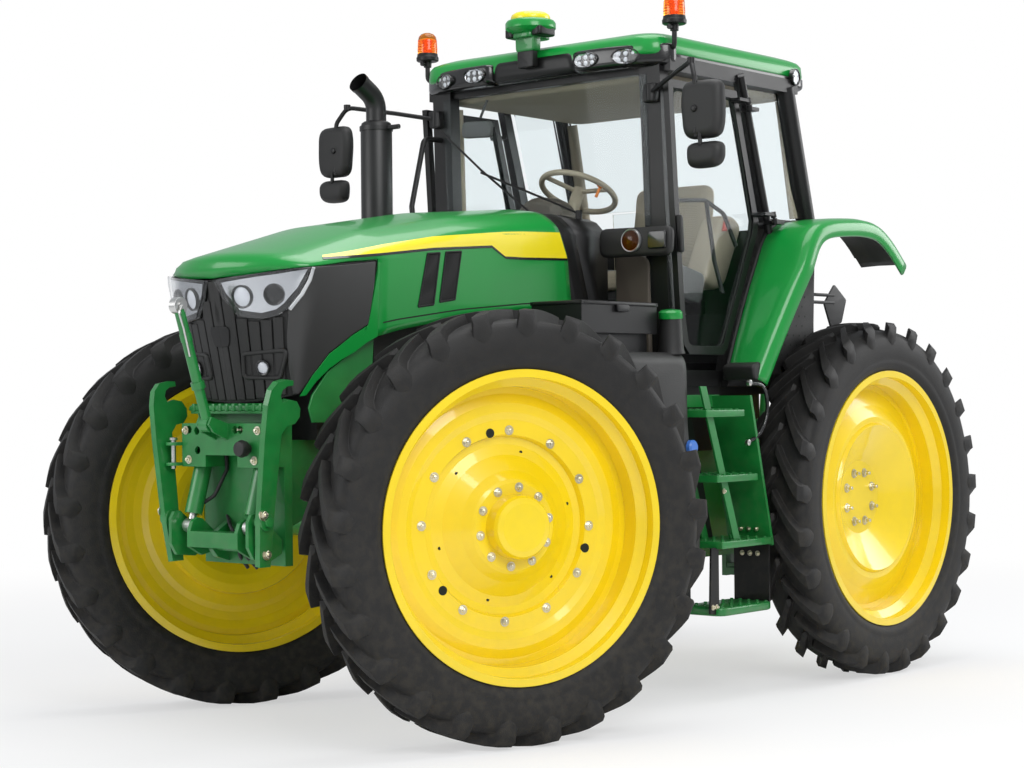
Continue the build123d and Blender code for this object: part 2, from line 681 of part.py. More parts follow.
# ---------------------------------------------------------------- fenders
# The fender's crown line, from its front foot over the tyre to its rear tip.
fender_crown = [(1035, 1540), (935, 1765), (835, 1972), (690, 2232), (610, 2302), (500, 2336), (340, 2352),
                (175, 2357), (20, 2338), (-120, 2268), (-262, 2155)]
fender_arch = [(-190, 2120), (-60, 2188), (97, 2250), (300, 2256), (480, 2232), (570, 2188), (752, 1972),
               (860, 1750), (945, 1540)]
liner_wall = 10.0


def inset(path, distance):
    """The (ahead, z) path moved to its right-hand side by distance."""
    moved = []
    for index, point in enumerate(path):
        before = path[max(index - 1, 0)]
        after = path[min(index + 1, len(path) - 1)]
        along = Vector(after[0] - before[0], after[1] - before[1]).normalized()
        moved.append((point[0] - along.Y * -distance * -1, point[1] + along.X * -distance * -1))
    return moved


crown_inside = inset(fender_crown, fender_wall)
liner_outside = inset(fender_crown, fender_wall + 4)
liner_inside = inset(fender_crown, fender_wall + 4 + liner_wall)
with BuildPart() as fenders:
    for side in (1, -1):
        slab(fender_crown + fender_arch, side * (cab_half_width + 10), side * fender_outer_y)
        slab(crown_inside + [(-500, 2000), (-300, 1400), (crown_inside[0][0], 1400)],
             side * (cab_half_width - 10), side * (fender_outer_y - fender_wall), mode=Mode.SUBTRACT)
        wall([(side * 960, 1400), (side * 1075, 2050), (side * 1300, 2050), (side * 1300, 1400)],
             -600, 1200, mode=Mode.SUBTRACT)
save(fenders.part, "fenders")
with BuildPart() as fender_liners:
    for side in (1, -1):
        slab(liner_outside[:-1] + liner_inside[-2::-1], side * (cab_half_width + 10),
             side * (fender_outer_y - fender_wall - 90))
save(fender_liners.part, "fender_liners")

# ---------------------------------------------------------------- tank, toolbox, ladder
tyre_sweep = 990.0           # what the steered tyre's outer corner sweeps, with a margin
with BuildPart() as fuel_tank:
    slab([(2050, 1300), (2060, 1660), (1520, 1660), (1515, 1300), (1420, 800), (1420, 640), (1520, 600),
          (2050, 900)], 430, 930)
    block((1520, 1680), (250 + seat_gap, 440), (760, 1250))
    bar((wheelbase, 240, axle_z), (wheelbase, 950, axle_z), tyre_sweep, mode=Mode.SUBTRACT)
    bar((1585, 870, 1640), (1600, 880, 1815), 50)
save(fuel_tank.part, "fuel_tank")
with BuildPart() as battery_box:
    slab([(1850, 1100), (1850, 1440), (1330, 1440), (1330, 800), (1600, 800)], -740, -300)
    block((1400, 1660), (-300, -250 - seat_gap), (850, 1200))
    bar((wheelbase, -240, axle_z), (wheelbase, -950, axle_z), tyre_sweep, mode=Mode.SUBTRACT)
save(battery_box.part, "battery_box")

box_wall = 5.0
box_x, box_y, box_z = (1672, 2235), (560, 850), (1745, 1872)
lid_barrels = (box_x[0] + 90, box_x[1] - 150)
with BuildPart() as toolbox:
    block(box_x, box_y, box_z)
    block((box_x[0] + 40, box_x[1] - 60), (box_y[0] + 30, box_y[1] - 30), (1660 + seat_gap, box_z[0]))
    block((box_x[0] + box_wall, box_x[1] - box_wall), (box_y[0] + box_wall, box_y[1] - box_wall),
          (box_z[0] + box_wall, box_z[1] + 1), mode=Mode.SUBTRACT)
    for x in lid_barrels:
        bar((x - 1, box_y[0] - 4, box_z[1]), (x + 61, box_y[0] - 4, box_z[1]), 8, mode=Mode.SUBTRACT)
save(toolbox.part, "toolbox")
with BuildPart() as toolbox_lid:
    block((box_x[0] - 4, box_x[1] + 4), (box_y[0] - 4, box_y[1] + 4), (box_z[1] + seat_gap, box_z[1] + 16))
    for x in lid_barrels:
        bar((x, box_y[0] - 4, box_z[1]), (x + 60, box_y[0] - 4, box_z[1]), 7)
save(toolbox_lid.part, "toolbox_lid")

ladder_in, ladder_out = 745.0, 1000.0
# Each tread: rear end, front end (ahead), height.
treads = ((1170, 1490, 1370), (1062, 1405, 1060), (940, 1370, 745), (935, 1380, 432))
with BuildPart() as step_ladder:
    slab([(1110, 1455), (930, 727), (945, 722), (1128, 1455)], ladder_in, ladder_out)
    for rear, front, z in treads:
        block((rear, front), (ladder_in, ladder_out), (z - 18, z + 18))
    beam((1440, ladder_in + 30, 1455), (1180, ladder_in + 30, 735), 12, 70)
    block((1060, 1440), (ladder_in - 60, ladder_in + 30), (1400, cab_floor_z - 40.5))
    slab([(1335, 727), (1345, 727), (1365, 450), (1355, 450)], ladder_in + 40, ladder_in + 120)
    slab([(960, 727), (970, 727), (970, 450), (960, 450)], ladder_in + 40, ladder_in + 120)
save(step_ladder.part, "step_ladder")

# ---------------------------------------------------------------- exhaust, mirrors, lamps
stack_x, stack_y = 2085.0, -555.0
with BuildPart() as exhaust:
    bar((stack_x, stack_y, 1790), (stack_x, stack_y, 2290), 112)
    bar((stack_x, stack_y, 2280), (stack_x, stack_y, 2822), 80)
    bar((stack_x, stack_y, 2820), (stack_x, stack_y, 2835), 66)
    bent_tube([(stack_x, stack_y, 2800), (stack_x, stack_y, 2935), (stack_x + 130, stack_y, 3015)], 120, 51)
    block((stack_x - 60, stack_x + 60), (stack_y, -255 - seat_gap), (1800, 1855))
save(exhaust.part, "exhaust")

with BuildPart() as mirrors:
    for side in (1, -1):
        block((1473.5, 1505), (side * 660, side * 720), (2975, 3010))
        bent_tube([(1490, side * 690, 2995), (1735, side * 1105, 3030), (1760, side * 1150, 2650)], 50, 14)
        wall([(side * 1075, 2625), (side * 1275, 2625), (side * 1290, 2880), (side * 1070, 2890)], 1730, 1790)
        wall([(side * 1100, 2485), (side * 1280, 2485), (side * 1290, 2605), (side * 1095, 2605)], 1730, 1790)
        bar((1760, side * 1180, 2590), (1760, side * 1180, 2640), 12)
save(mirrors.part, "mirrors")

with BuildPart() as signal_lamps:
    for side in (1, -1):
        wall([(side * 450, 2118), (side * 880, 2118), (side * 880, 2262), (side * 450, 2262)], 1560, 1600)
        block((a_post_front(2240), 1561), sorted((side * 665, side * 735)), (2130, 2240))
        bar((1599, side * 656, 2196), (1632, side * 656, 2196), 55)
save(signal_lamps.part, "signal_lamps")

with BuildPart() as beacons:
    for side in (1, -1):
        bent_tube([(1440, side * 771, 3122), (1440, side * 800, 3123), (1440, side * 800, 3230)], 14.5, 14)
        bar((1440, side * 800, 3225), (1440, side * 800, 3262), 58)
        bar((1440, side * 800, 3261), (1440, side * 800, 3380), 56)
save(beacons.part, "beacons")
receiver_x = 1550.0
with BuildPart() as receiver:
    block((1560 + seat_gap, 1600), (-60, 60), (3085, 3262))
    block((receiver_x - 100, 1600), (-60, 60), (3240, 3262))
    bar((receiver_x, 0, 3261), (receiver_x, 0, 3340), 128)
    bar((receiver_x, 0, 3335), (receiver_x, 0, 3370), 95)
save(receiver.part, "receiver")

with BuildPart() as handrail:
    bent_tube([(1467, -690, 2800), (1580, -700, 2800), (1700, -680, 2440), (1700, -640, 2100),
               (1700, -414.5, 2060)], 45, 14)
save(handrail.part, "handrail")

# ---------------------------------------------------------------- front linkage
lift_pivot = (3532.0, 845.0)
rod_eye = (3620.0, 925.0)
cylinder_top = (3530.0, 1235.0)
cylinder_y = 188.0
barrel_radius = 38.0
piston_rod_radius = 17.0
lift_tube_radius = 30.0
hitch_half_width = 250.0
casting_x = (3484.0, 3612.0)
link_pivot = (3645.0, 955.0)
link_pin_radius = 20.0
link_lean = 7.4              # how far each folded link leans outwards
link_thickness = 30.0
link_y = 296.0               # at the link's pivot
front_top_pivot = (3685.0, 1356.0)


def cross_pin(x, z, y_low, y_high, radius, mode=Mode.ADD):
    """Round bar across the tractor."""
    bar((x, y_low, z), (x, y_high, z), radius, mode=mode)


with BuildPart() as hitch_frame:
    block((frame_front_x, casting_x[0]), (-hitch_half_width, hitch_half_width), (760, 1412))
    block((*casting_x,), (-hitch_half_width, hitch_half_width), (1175, 1360))
    block((casting_x[0] - 1, 3560), (-hitch_half_width, hitch_half_width), (1400, 1412))
    block((*casting_x,), (-100, 100), (1170, 1225), mode=Mode.SUBTRACT)
    for y, z in ((-205, 1333), (-155, 1328), (85, 1333), (118, 1333), (-150, 1245), (105, 1245)):
        bar((casting_x[1] - 30, y, z), (casting_x[1] + 1, y, z), 17, mode=Mode.SUBTRACT)
    for side in (1, -1):
        block((casting_x[0], casting_x[1] - 14), sorted((side * (cylinder_y - 44), side * (cylinder_y + 44))),
              (1170, 1290), mode=Mode.SUBTRACT)
        cross_pin(*cylinder_top, side * (cylinder_y - 45), side * (cylinder_y + 45), pin_radius)
        slab([(casting_x[0] - 1, 770), (3550, 790), (3580, 825), (3580, 870), (3550, 900),
              (casting_x[0] - 1, 940)], side * 96, side * 124)
        cross_pin(*lift_pivot, side * 95, side * 125, lift_tube_radius + pin_gap, mode=Mode.SUBTRACT)
        slab([(casting_x[1] - 1, 1290), (3690, 1325), (3716, 1356), (3700, 1388), (casting_x[1] - 1, 1360)],
             side * 30, side * 42)
    cross_pin(*front_top_pivot, -36, 36, pin_radius)
save(hitch_frame.part, "hitch_frame")

with BuildPart() as lift_arm:
    cross_pin(*lift_pivot, -hitch_half_width, hitch_half_width, lift_tube_radius)
    block((3598, 3668), (-142, 142), (838, 905))
    for side in (1, -1):
        slab([(3502, 820), (3600, 800), (3668, 838), (3668, 905), (3652, 945), (3625, 961), (3598, 955),
              (3502, 875)], side * 138, side * 158)
        slab([(3502, 815), (3560, 790), (3660, 800), (3690, 850), (3690, 955), (3672, 985), (3640, 988),
              (3600, 955), (3502, 875)], side * 232, side * hitch_half_width)
        cross_pin(*rod_eye, side * 157, side * 233, pin_radius)
        cross_pin(*link_pivot, side * (hitch_half_width - 1), side * 332, link_pin_radius)
save(lift_arm.part, "lift_arm")

# A lower link folded up: a bar with a claw at its top and a round latch plate behind it.
link_outline = [(3602, 768), (3662, 768), (3682, 960), (3692, 1300), (3690, 1440), (3676, 1502), (3645, 1536),
                (3600, 1545), (3558, 1543), (3556, 1522), (3590, 1518), (3614, 1503), (3622, 1478),
                (3610, 1452), (3575, 1464), (3530, 1456), (3506, 1425), (3506, 1390), (3530, 1362),
                (3572, 1354), (3600, 1320), (3604, 960)]
with BuildPart() as front_links:
    for side in (1, -1):
        with BuildPart(mode=Mode.PRIVATE) as link:
            slab(link_outline, side * (link_y - link_thickness / 2), side * (link_y + link_thickness / 2))
        lean_axis = Axis((0, side * link_y, link_pivot[1]), (1, 0, 0))
        add(link.part.rotate(lean_axis, -side * link_lean))
        cross_pin(*link_pivot, side * (link_y - 20), side * (link_y + 22), 36)
        cross_pin(*link_pivot, side * (link_y - 30), side * (link_y + 30), link_pin_radius + pin_gap,
                  mode=Mode.SUBTRACT)
save(front_links.part, "front_links")

cylinder_along = Vector(cylinder_top[0] - rod_eye[0], 0, cylinder_top[1] - rod_eye[1])
cylinder_length = cylinder_along.length
cylinder_along = cylinder_along.normalized()


def on_cylinder(distance, y):
    """Point (ahead, y, z) on a lift cylinder's line, measured up from the rod's eye."""
    return (rod_eye[0] + cylinder_along.X * distance, y, rod_eye[1] + cylinder_along.Z * distance)


barrel_start = 50.0
rod_eye_play = 4.0           # the rod's eye is loose on its pin
with BuildPart() as front_barrels:
    for side in (1, -1):
        y = side * cylinder_y
        bar(on_cylinder(barrel_start, y), on_cylinder(cylinder_length - 20, y), barrel_radius)
        cross_pin(*cylinder_top, y - 30, y + 30, 30)
        cross_pin(*cylinder_top, y - 31, y + 31, pin_radius + pin_gap, mode=Mode.SUBTRACT)
        bar(on_cylinder(barrel_start - 1, y), on_cylinder(cylinder_length - 45, y),
            piston_rod_radius + pin_gap, mode=Mode.SUBTRACT)
save(front_barrels.part, "front_barrels")
with BuildPart() as front_rods:
    for side in (1, -1):
        y = side * cylinder_y
        bar(on_cylinder(20, y), on_cylinder(cylinder_length - 60, y), piston_rod_radius)
        cross_pin(*rod_eye, y - 22, y + 22, 30)
        cross_pin(*rod_eye, y - 31, y + 31, pin_radius + rod_eye_play, mode=Mode.SUBTRACT)
save(front_rods.part, "front_rods")

with BuildPart() as front_top_link:
    bar((front_top_pivot[0], 0, front_top_pivot[1]), (3841, 0, 1850), 22)
    cross_pin(*front_top_pivot, -25, 25, 32)
    cross_pin(*front_top_pivot, -26, 26, pin_radius + pin_gap, mode=Mode.SUBTRACT)
save(front_top_link.part, "front_top_link")

# ---------------------------------------------------------------- rear linkage
lift_shaft = (-330.0, 1300.0)
lift_shaft_radius = 34.0
lower_link_length = 940.0
drawbar_z = 470.0
pin_hole_x = -720.0
drawbar_hole_radius = 16.5
lower_eye_radius = 18.7      # for a 37 mm linkage pin
top_eye_radius = 16.0
top_link_pivot = (-465.0, 1085.0)
with BuildPart() as rear_hitch:
    block((rear_face - 40, rear_face - seat_gap), (-170, 170), (560, 1220))
    for side in (1, -1):
        slab([(-395, 1200), (-380, 1230 + seat_gap), (-260, 1241), (-260, 1360), (-400, 1360)], side * 120,
             side * 160)
        cross_pin(*lift_shaft, side * 119, side * 161, lift_shaft_radius + pin_gap, mode=Mode.SUBTRACT)
        slab([(rear_face - 39, 1040), (-475, 1050), (-500, 1085), (-475, 1120), (rear_face - 39, 1130)],
             side * 32, side * 44)
        slab([(rear_face - 39, 440), (-200, 440), (-200, 560), (rear_face - 39, 570)], side * 60, side * 90)
    cross_pin(*top_link_pivot, -38, 38, pin_radius)
    bar((rear_face - 60, 0, pto_z), (rear_face - 1, 0, pto_z), 60)
    bar((rear_face - 61, 0, pto_z), (rear_face + 1, 0, pto_z), pto_collar_radius + running_gap,
        mode=Mode.SUBTRACT)
    block((pin_hole_x - 60, -150), (-40, 40), (drawbar_z - 20, drawbar_z + 20))
    block((-250, -205), (-61, 61), (drawbar_z - 21, drawbar_z + 40))
    bar((pin_hole_x, 0, drawbar_z - 21), (pin_hole_x, 0, drawbar_z + 21), drawbar_hole_radius,
        mode=Mode.SUBTRACT)
save(rear_hitch.part, "rear_hitch")

with BuildPart() as pto_shaft:
    bar((rear_face - 160, 0, pto_z), (rear_face - 59, 0, pto_z), pto_radius)
    bar((rear_face - 60, 0, pto_z), (rear_face + 35, 0, pto_z), pto_collar_radius)
save(pto_shaft.part, "pto_shaft")

lift_arm_end = (-640.0, 1270.0)
with BuildPart() as rear_lift_arms:
    cross_pin(*lift_shaft, -250, 250, lift_shaft_radius)
    for side in (1, -1):
        slab([(-280, 1345), (-280, 1260), (-400, 1240), (-660, 1245), (-665, 1290), (-400, 1350)],
             side * 215, side * 245)
        cross_pin(*lift_arm_end, side * 216, side * 300, pin_radius)
save(rear_lift_arms.part, "rear_lift_arms")

lower_end = (lower_pivot[0] - lower_link_length, 620.0)
rod_foot = (-680.0, 690.0)
with BuildPart() as rear_lower_links:
    for side in (1, -1):
        beam((lower_pivot[0], side * 285, lower_pivot[1]),
             (lower_end[0] + 30, side * 400, lower_end[1]), 32, 80)
        cross_pin(*lower_pivot, side * 265, side * 305, 45)
        cross_pin(*lower_pivot, side * 264, side * 306, pin_radius + pin_gap, mode=Mode.SUBTRACT)
        cross_pin(*lower_end, side * 380, side * 424, 44)
        cross_pin(*lower_end, side * 379, side * 425, lower_eye_radius, mode=Mode.SUBTRACT)
save(rear_lower_links.part, "rear_lower_links")
with BuildPart() as rear_lift_rods:
    for side in (1, -1):
        bar((lift_arm_end[0], side * 275, lift_arm_end[1]), (rod_foot[0], side * 300, rod_foot[1] + 40), 18)
        cross_pin(*lift_arm_end, side * 255, side * 295, 34)
        cross_pin(*lift_arm_end, side * 254, side * 296, pin_radius + pin_gap, mode=Mode.SUBTRACT)
save(rear_lift_rods.part, "rear_lift_rods")
top_link_tip = (-540.0, 1660.0)
with BuildPart() as rear_top_link:
    bar((top_link_pivot[0], 0, top_link_pivot[1]), (top_link_tip[0], 0, top_link_tip[1]), 24)
    for x, z, hole in ((*top_link_pivot, pin_radius + pin_gap), (*top_link_tip, top_eye_radius)):
        cross_pin(x, z, -26, 26, 36)
        cross_pin(x, z, -27, 27, hole, mode=Mode.SUBTRACT)
save(rear_top_link.part, "rear_top_link")
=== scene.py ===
"""Farm tractor: the pieces that show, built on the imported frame.

X forward, Y to the tractor's left, Z up, in metres. Side views are written as
(distance ahead of the rear axle, height), and fenders, hood and cab share that rule.
"""

import json
from math import atan2, cos, pi, radians, sin, tan

import bmesh
import bpy
from bpy.props import FloatProperty, FloatVectorProperty, IntProperty, PointerProperty
from mathutils import Matrix, Vector
from mathutils.bvhtree import BVHTree


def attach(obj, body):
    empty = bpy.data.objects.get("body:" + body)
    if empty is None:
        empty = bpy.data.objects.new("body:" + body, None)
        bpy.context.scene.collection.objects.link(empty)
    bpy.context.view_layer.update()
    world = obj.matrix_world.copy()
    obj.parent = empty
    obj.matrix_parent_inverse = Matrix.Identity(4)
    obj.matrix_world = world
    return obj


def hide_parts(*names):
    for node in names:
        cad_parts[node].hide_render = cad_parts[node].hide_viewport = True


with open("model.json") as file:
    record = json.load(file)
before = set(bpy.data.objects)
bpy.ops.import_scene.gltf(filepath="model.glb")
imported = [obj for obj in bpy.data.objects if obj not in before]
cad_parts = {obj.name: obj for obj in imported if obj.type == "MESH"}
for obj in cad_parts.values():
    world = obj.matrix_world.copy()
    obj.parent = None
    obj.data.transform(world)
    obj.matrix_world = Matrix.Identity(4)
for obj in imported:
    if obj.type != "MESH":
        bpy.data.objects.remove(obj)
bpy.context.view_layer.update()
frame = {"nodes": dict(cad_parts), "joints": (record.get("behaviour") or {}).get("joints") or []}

bl_info = {
    "name": "Farm Tractor",
    "version": (1, 0, 0),
    "blender": (4, 5, 0),
    "location": "View3D > Sidebar > Tractor",
    "description": "Builds the visible pieces of a row-crop tractor on its packed frame",
    "category": "Object",
}

JOINTS = {joint["name"]: joint for joint in frame["joints"]}
REAR_AXLE = Vector(JOINTS["spin_rear_left"]["pos_m"])
SIDES = (("left", 1), ("right", -1))
WHEELS = ("front_left", "front_right", "rear_left", "rear_right")


def at(ahead, y, z):
    """Point that far ahead of the rear axle."""
    return Vector((REAR_AXLE.x + ahead, y, z))


# ------------------------------------------------------------------ sizes and colours
def length_setting(name, description, default):
    """Setting for a length."""
    return FloatProperty(name=name, description=description, default=default, unit="LENGTH")


def colour_setting(name, description, default):
    """Setting for an opaque colour."""
    return FloatVectorProperty(name=name, description=description, subtype="COLOR", size=4, min=0, max=1,
                               default=(*default, 1))


class WheelSizes(bpy.types.PropertyGroup):
    """Sizes of the treads and the wheel bolts."""

    lug_count: IntProperty(name="Lugs", description="Tread bars on each side of a tyre", default=25, min=8)
    lug_width: length_setting("Lug width", "Width of a bar at its foot", 0.052)
    bolt_size: length_setting("Bolt size", "Width of a wheel bolt's head across its flats", 0.027)


class PaintColours(bpy.types.PropertyGroup):
    """Colours of the painted and moulded pieces."""

    body: colour_setting("Body paint", "Gloss green of hood, roof and fenders", (0.006, 0.262, 0.040))
    casting: colour_setting("Casting paint", "Deeper green of castings", (0.009, 0.190, 0.034))
    wheel: colour_setting("Wheel paint", "Yellow of rims and stripe", (0.90, 0.66, 0.004))
    plastic: colour_setting("Moulded plastic", "Charcoal of panels and housings", (0.011, 0.011, 0.0105))
    trim: colour_setting("Cab trim", "Tan of seat and cab lining", (0.34, 0.29, 0.21))


# ------------------------------------------------------------------ shader groups
def node(tree, kind, place=(0, 0), **settings):
    """Add a shader or geometry node and set its plain attributes."""
    made = tree.nodes.new(kind)
    made.location = place
    for name, value in settings.items():
        setattr(made, name, value)
    return made


def wired(tree, table, links, **parts):
    """Fill a tree from {name: (kind, settings, inputs)} and "node.output > node.input" links.

    Settings and inputs may be left out; a number in a link picks the socket by its place.
    """
    for column, (name, entry) in enumerate(table.items()):
        kind, settings, inputs = (*entry, {}, {})[:3]
        parts[name] = node(tree, kind, (200 * column, 0), **settings)
        for label, value in inputs.items():
            parts[name].inputs[label].default_value = value

    def socket(sockets, key):
        return sockets[int(key) if key.isdigit() else key]

    for text in links:
        (start, output), (end, into) = (half.split(".") for half in text.split(" > "))
        tree.links.new(socket(parts[start].outputs, output), socket(parts[end].inputs, into))


def shader_group(name, inputs, outputs, table, links):
    """Shader node group with named sockets of (name, type, default), wired from its table."""
    group = bpy.data.node_groups.new(name, "ShaderNodeTree")
    for label, kind, value in inputs:
        socket = group.interface.new_socket(label, in_out="INPUT", socket_type=kind)
        if value is not None:
            socket.default_value = value
    for label, kind in outputs:
        group.interface.new_socket(label, in_out="OUTPUT", socket_type=kind)
    wired(group, {"source": ("NodeGroupInput",), "sink": ("NodeGroupOutput",), **table}, links)
    return group


def surface_group():
    """Colour, roughness and height that change over a surface: mottling, grain and settled dust."""
    return shader_group(
        "surface_detail",
        [("Vector", "NodeSocketVector", None), ("Colour", "NodeSocketColor", (0.5, 0.5, 0.5, 1)),
         ("Roughness", "NodeSocketFloat", 0.5), ("Mottle", "NodeSocketFloat", 0.1),
         ("Mottle Scale", "NodeSocketFloat", 4.0), ("Grain Scale", "NodeSocketFloat", 300.0),
         ("Dust", "NodeSocketFloat", 0.1), ("Dust Top", "NodeSocketFloat", 1.6)],
        [("Colour", "NodeSocketColor"), ("Roughness", "NodeSocketFloat"), ("Height", "NodeSocketFloat")],
        {"mottle": ("ShaderNodeTexNoise", {}, {"Detail": 5}),
         "grain": ("ShaderNodeTexNoise", {}, {"Detail": 2}),
         "spots": ("ShaderNodeTexNoise", {}, {"Scale": 26, "Detail": 6}),
         "spread": ("ShaderNodeMapRange", {}, {"From Min": 0.3, "From Max": 0.7, "To Min": -1.0}),
         "amount": ("ShaderNodeMath", {"operation": "MULTIPLY"}),
         "lift": ("ShaderNodeMath", {"operation": "ADD"}, {1: 1.0}),
         "tone": ("ShaderNodeVectorMath", {"operation": "SCALE"}),
         "split": ("ShaderNodeSeparateXYZ",),
         "low": ("ShaderNodeMapRange", {}, {"From Min": 0.0, "To Min": 1.0, "To Max": 0.0}),
         "fleck": ("ShaderNodeMapRange", {}, {"From Min": 0.42, "From Max": 0.66}),
         "dirt": ("ShaderNodeMath", {"operation": "MULTIPLY"}),
         "share": ("ShaderNodeMath", {"operation": "MULTIPLY"}),
         "mix": ("ShaderNodeMix", {"data_type": "RGBA"}, {"B": (0.20, 0.17, 0.12, 1)}),
         "smudge": ("ShaderNodeMath", {"operation": "MULTIPLY_ADD"}, {1: 0.25}),
         "dull": ("ShaderNodeMath", {"operation": "ADD", "use_clamp": True})},
        ["source.Vector > mottle.Vector", "source.Mottle Scale > mottle.Scale",
         "source.Vector > grain.Vector", "source.Grain Scale > grain.Scale", "source.Vector > spots.Vector",
         "mottle.Fac > spread.Value", "spread.Result > amount.0", "source.Mottle > amount.1",
         "amount.0 > lift.0", "source.Colour > tone.0", "lift.0 > tone.Scale",
         "source.Vector > split.0", "split.Z > low.Value",
         "source.Dust Top > low.From Max", "spots.Fac > fleck.Value", "low.Result > dirt.0",
         "fleck.Result > dirt.1", "dirt.0 > share.0", "source.Dust > share.1", "share.0 > mix.Factor",
         "tone.0 > mix.A", "mix.Result > sink.Colour", "amount.0 > smudge.0", "source.Roughness > smudge.2",
         "smudge.0 > dull.0", "share.0 > dull.1", "dull.0 > sink.Roughness", "grain.Fac > sink.Height"])


def weave_group():
    """Over-and-under weave as a height and a shade."""
    return shader_group(
        "cloth_weave", [("Vector", "NodeSocketVector", None), ("Threads", "NodeSocketFloat", 900.0)],
        [("Height", "NodeSocketFloat"), ("Shade", "NodeSocketFloat")],
        {"across": ("ShaderNodeTexWave", {"bands_direction": "X"}),
         "along": ("ShaderNodeTexWave", {"bands_direction": "Y"}),
         "total": ("ShaderNodeMath", {"operation": "MAXIMUM"}),
         "shade": ("ShaderNodeMapRange", {}, {"To Min": 0.72})},
        ["source.Vector > across.Vector", "source.Threads > across.Scale", "across.Fac > total.0",
         "source.Vector > along.Vector", "source.Threads > along.Scale", "along.Fac > total.1",
         "total.0 > shade.Value", "total.0 > sink.Height", "shade.Result > sink.Shade"])


SURFACE = surface_group()
WEAVE = weave_group()
FINISHES = {}


def principled(name, settings):
    """New material with its constants set on its shader, as (material, tree, shader)."""
    material = bpy.data.materials.new(name)
    material.use_nodes = True
    shader = material.node_tree.nodes["Principled BSDF"]
    for label, value in settings.items():
        shader.inputs[label].default_value = value
    return material, material.node_tree, shader


def finish(name, slot, colour, roughness, metallic=0.0, coat=0.0, mottle=0.08, mottle_scale=3.0,
           grain=300.0, bump=0.0, dust=0.1, dust_top=1.6, edge=0.0, specular=0.5, weave=0.0):
    """Opaque material with surface detail, remembered under its name."""
    material, tree, shader = principled(name, {"Metallic": metallic, "Coat Weight": coat,
                                               "Coat Roughness": 0.06, "Specular IOR Level": specular})
    table = {
        "coords": ("ShaderNodeTexCoord",),
        "detail": ("ShaderNodeGroup", {"node_tree": SURFACE},
                   {"Colour": (*colour[:3], 1), "Roughness": roughness, "Mottle": mottle,
                    "Mottle Scale": mottle_scale, "Grain Scale": grain, "Dust": dust, "Dust Top": dust_top})}
    links = ["coords.Object > detail.Vector", "detail.Colour > shader.Base Color",
             "detail.Roughness > shader.Roughness"]
    normal = None
    if edge:
        table["rim"] = ("ShaderNodeBevel", {"samples": 4}, {"Radius": edge})
        normal = "rim.Normal"
    if bump:
        table["relief"] = ("ShaderNodeBump", {}, {"Strength": 1.0, "Distance": bump})
        if weave:
            table["cloth"] = ("ShaderNodeGroup", {"node_tree": WEAVE}, {"Threads": weave})
            table["shaded"] = ("ShaderNodeMix", {"data_type": "RGBA", "blend_type": "MULTIPLY"},
                               {"Factor": 1.0})
            links += ["coords.Object > cloth.Vector", "detail.Colour > shaded.A", "cloth.Shade > shaded.B",
                      "shaded.Result > shader.Base Color"]
        links.append("cloth.Height > relief.Height" if weave else "detail.Height > relief.Height")
        if normal:
            links.append(normal + " > relief.Normal")
        normal = "relief.Normal"
    if normal:
        links.append(normal + " > shader.Normal")
    wired(tree, table, links, shader=shader)
    FINISHES[name] = (material, slot)


def clear(name, slot, tint, roughness=0.0, ior=1.45, shadow=0.85):
    """Clear or tinted glass that lets light through to what lies behind it."""
    material, tree, shader = principled(name, {"Base Color": (*tint, 1), "Transmission Weight": 1.0,
                                               "IOR": ior, "Roughness": roughness})
    wired(tree, {"through": ("ShaderNodeBsdfTransparent", {}, {"Color": (*(shadow * c for c in tint), 1)}),
                 "path": ("ShaderNodeLightPath",), "blend": ("ShaderNodeMixShader",)},
          ["path.Is Shadow Ray > blend.0", "shader.0 > blend.1", "through.0 > blend.2",
           "blend.0 > out.Surface"],
          shader=shader, out=tree.nodes["Material Output"])
    FINISHES[name] = (material, slot)


